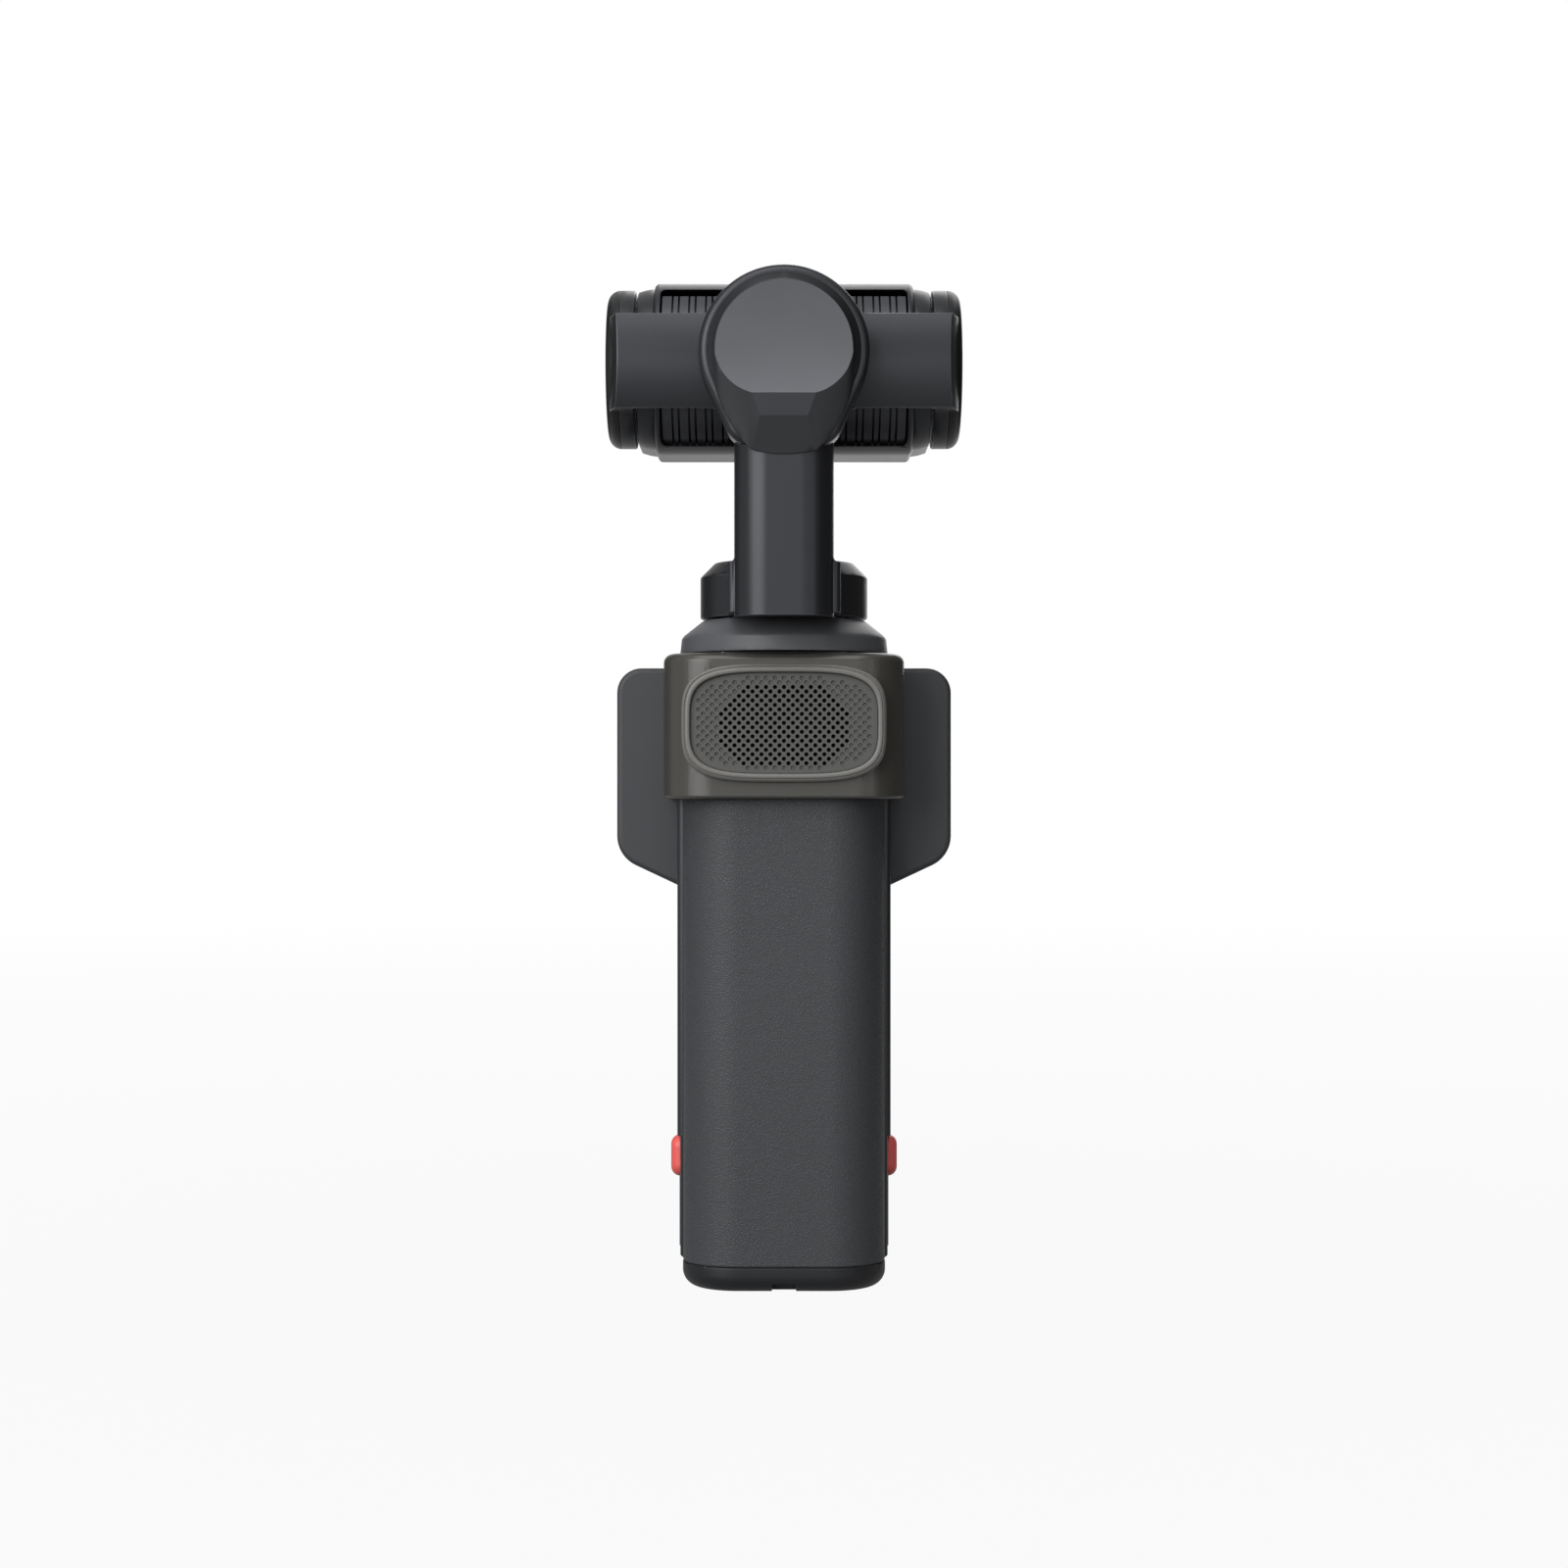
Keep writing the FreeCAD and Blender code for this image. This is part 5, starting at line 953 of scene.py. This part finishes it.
def seen_share(tree, share, mirrored):
    """How far a surface shows plain white: share to the camera, mirrored in metal and glass."""
    path = tree.nodes.new("ShaderNodeLightPath").outputs
    mirror = maths(tree, "MAXIMUM", path["Is Glossy Ray"], path["Is Transmission Ray"])
    reflected = maths(tree, "MULTIPLY", mirror, mirrored)
    return maths(tree, "MULTIPLY_ADD", path["Is Camera Ray"], share, reflected)


def with_distance(tree, near, far, least, most):
    """A share that grows from least to most between two distances from the object."""
    away = add_node(tree, "ShaderNodeVectorMath", {0: place_of(tree)}, operation="LENGTH")
    return add_node(tree, "ShaderNodeMapRange",
                    {"Value": away.outputs["Value"], "From Min": near, "From Max": far,
                     "To Min": least, "To Max": most}).outputs["Result"]


def matt_grey(tree, level):
    return add_node(tree, "ShaderNodeBsdfDiffuse",
                    {"Color": (level, level, level, 1)}).outputs["BSDF"]


def sheet(name, corners, material):
    mesh = bpy.data.meshes.new(name)
    mesh.from_pydata(corners, [], [(0, 1, 2, 3)])
    mesh.materials.append(material)
    return link(name, mesh)


def make_floor():
    """White towards the backdrop. Near the object it shows the shadow, and mirrors grey."""
    material, tree = new_material("Pale floor")
    glow = add_node(tree, "ShaderNodeEmission", {"Color": (1, 1, 1, 1), "Strength": 1.0})
    seen = with_distance(tree, near=0.1, far=1.2, least=0.94, most=1.0)
    mirrored = with_distance(tree, near=0.1, far=0.6, least=0.5, most=1.0)
    mix = add_node(tree, "ShaderNodeMixShader",
                   {0: seen_share(tree, seen, mirrored), 1: matt_grey(tree, 0.1),
                    2: glow.outputs["Emission"]})
    show(tree, mix.outputs["Shader"])
    reach, depth = settings("stage").floor_reach, -0.02 * MM
    floor = sheet("floor", [(-reach, -reach, depth), (reach, -reach, depth),
                            (reach, reach, depth), (-reach, reach, depth)], material)


def make_side_cards():
    """Dark cards on both sides, out of the picture, that draw the round edges of the metal."""
    stage = settings("stage")
    material, tree = new_material("Dark card")
    show(tree, matt_grey(tree, 0.14))
    far, top = -stage.card_far, stage.card_height
    for name, across, near in (("card_key_side", stage.card_distance, stage.key_card_near),
                               ("card_far_side", -stage.card_distance, stage.far_card_near)):
        card = sheet(name, [(across, far, 0), (across, near, 0), (across, near, top),
                            (across, far, top)], material)
        card.visible_camera = False


def make_lamp(name, power, size, place, target):
    lamp = bpy.data.lights.new(name, "AREA")
    lamp.energy = power
    lamp.shape = "RECTANGLE"
    lamp.size, lamp.size_y = size
    item = link(name, lamp)
    item.location = place
    item.rotation_euler = (Vector(target) - item.location).to_track_quat("-Z", "Y").to_euler()


def make_lights_and_camera():
    stage = settings("stage")
    middle, cover = (0, 0, 0.08), (0, 0, 0.158)
    for name, power, size, place, target in (
            ("key", stage.key_power, (0.8, 0.6), (0.6, 0.85, 0.36), middle),
            ("side", stage.side_power, (0.5, 0.6), (-0.7, 0.6, 0.25), middle),
            ("strip", stage.strip_power, (0.8, 0.2), (0.0, 1.0, 0.158), cover),
            ("top", stage.top_power, (0.8, 0.8), (0.15, 0.5, 0.9), middle),
            ("front", stage.fill_power, (0.9, 1.0), (-0.35, -0.9, 0.5), middle)):
        make_lamp(name, power, size, place, target)
    lens = bpy.data.cameras.new("camera")
    lens.lens = stage.focal_length
    lens.sensor_width = 36.0
    lens.clip_start = 0.01
    camera = link("camera", lens)
    camera.location = (0, stage.distance, stage.eye_height)
    camera.rotation_euler = (math.pi / 2, 0, math.pi)
    bpy.context.scene.camera = camera
    bpy.context.scene.view_settings.view_transform = "Standard"


# Operators

class GIMBAL_OT_stage(bpy.types.Operator):
    """Pale floor, white room, soft lights and the camera behind the handle"""
    bl_idname = "gimbal.stage"
    bl_label = "Stage"

    def execute(self, context):
        make_room()
        make_floor()
        make_side_cards()
        make_lights_and_camera()
        return {"FINISHED"}


class GIMBAL_OT_finishes(bpy.types.Operator):
    """Materials, and the finish of every piece that keeps its CAD shape"""
    bl_idname = "gimbal.finishes"
    bl_label = "Finishes"

    def execute(self, context):
        GROUPS.update(blasted=make_blasted_group(), leather=make_leather_group())
        FINISHES.update(make_finishes())
        for name, node in frame["nodes"].items():
            finish = FINISHES[SLOT_OF[name]]
            slots = node.data.materials
            for index in range(len(slots)):
                slots[index] = finish
            if not slots:
                slots.append(finish)
        return {"FINISHED"}


class GIMBAL_OT_grille(bpy.types.Operator):
    """Perforated plate in the wind guard, the rim round it and the foam under it"""
    bl_idname = "gimbal.grille"
    bl_label = "Grille"

    def execute(self, context):
        make_grille_plate()
        make_grille_rim()
        make_foam()
        return {"FINISHED"}


class GIMBAL_OT_machined(bpy.types.Operator):
    """Machined pieces of the handle, arm, yoke and head, with their edges softened"""
    bl_idname = "gimbal.machined"
    bl_label = "Machined pieces"

    def execute(self, context):
        metal = settings("metal")
        width = metal.edge_radius
        # The corner between bridge and column, the low step at the handle's foot and what the
        # base hides are too fine to be rounded
        base_top, base_half_width, rail_top = 4.2 * MM, 14.6 * MM, 5 * MM

        def at_bridge_corner(place):
            level = abs(place.z - metal.bridge_top) < 0.6 * MM
            return level and place.y > metal.bridge_rear - 0.7 * MM

        def at_foot(place):
            return (abs(place.z - metal.foot_top) < 1.0 * MM or place.z < base_top
                    or place.z < rail_top and abs(place.x) < base_half_width)

        # Their rounded edges take the lighter alloy, a painted highlight
        for node, plain in (("head_shell", None), ("head_front", None), ("head_end_right", None),
                            ("head_end_left", None), ("arm_frame", at_bridge_corner),
                            ("handle_frame", at_foot)):
            softened(node, node + "_finished", width, edge_highlight="edge_highlight_alloy", plain=plain)
        make_yoke()
        for node in ("tilt_motor_cap", "tilt_bearing_cap"):
            softened(node, node + "_finished", width, finish="cap_alloy")
        softened("neck_ring", "neck_ring_finished", width, finish="ring_alloy")
        make_roll_cover()
        return {"FINISHED"}


class GIMBAL_OT_moulded(bpy.types.Operator):
    """Moulded pieces of the handle, module and wind guard, with their edges softened"""
    bl_idname = "gimbal.moulded"
    bl_label = "Moulded pieces"

    def execute(self, context):
        width = settings("grip").edge_radius

        def at_sound_holes(place):
            return place.y > 9 * MM and abs(place.x) < 12 * MM and place.z > 60 * MM

        def inside_base(place):
            return abs(place.x) < 14.4 * MM and -12 * MM < place.y < 11 * MM

        # What the wind guard and the handle's frame hide stays as it is
        softened("back_cover", "grip_back", 2 * width, plain=at_sound_holes)
        softened("bottom_cap", "base_moulding", 2 * width, finish="base_plastic",
                 plain=inside_base)
        for node in ("wind_guard", "module_housing", "module_face", "joystick_base",
                     "latch_button_right", "latch_button_left", "record_button", "function_button"):
            softened(node, node + "_finished", width)
        return {"FINISHED"}


class GIMBAL_OT_details(bpy.types.Operator):
    """Lenses, joystick cap and base screws"""
    bl_idname = "gimbal.details"
    bl_label = "Lenses, joystick and screws"

    def execute(self, context):
        make_lens("main")
        make_lens("tele")
        make_stick()
        make_screws()
        return {"FINISHED"}


OPERATORS = (
    GIMBAL_OT_stage,
    GIMBAL_OT_finishes,
    GIMBAL_OT_machined,
    GIMBAL_OT_moulded,
    GIMBAL_OT_grille,
    GIMBAL_OT_details,
)


class GIMBAL_PT_panel(bpy.types.Panel):
    bl_idname = "GIMBAL_PT_panel"
    bl_label = "Gimbal camera"
    bl_space_type = "VIEW_3D"
    bl_region_type = "UI"
    bl_category = "Gimbal camera"

    def draw(self, context):
        for name, kind in SETTINGS.items():
            box = self.layout.box()
            box.label(text=name.capitalize())
            for label in kind.__annotations__:
                box.prop(settings(name), label)
        for operator in OPERATORS:
            self.layout.operator(operator.bl_idname)


def register():
    for kind in (*SETTINGS.values(), *OPERATORS, GIMBAL_PT_panel):
        bpy.utils.register_class(kind)
    for name, kind in SETTINGS.items():
        setattr(bpy.types.Scene, "gimbal_" + name, PointerProperty(type=kind))


def unregister():
    for name in SETTINGS:
        delattr(bpy.types.Scene, "gimbal_" + name)
    for kind in (GIMBAL_PT_panel, *reversed(OPERATORS), *reversed(tuple(SETTINGS.values()))):
        bpy.utils.unregister_class(kind)


def main():
    register()
    for operator in OPERATORS:
        module, name = operator.bl_idname.split(".")
        getattr(getattr(bpy.ops, module), name)()


if __name__ == "__main__":
    main()
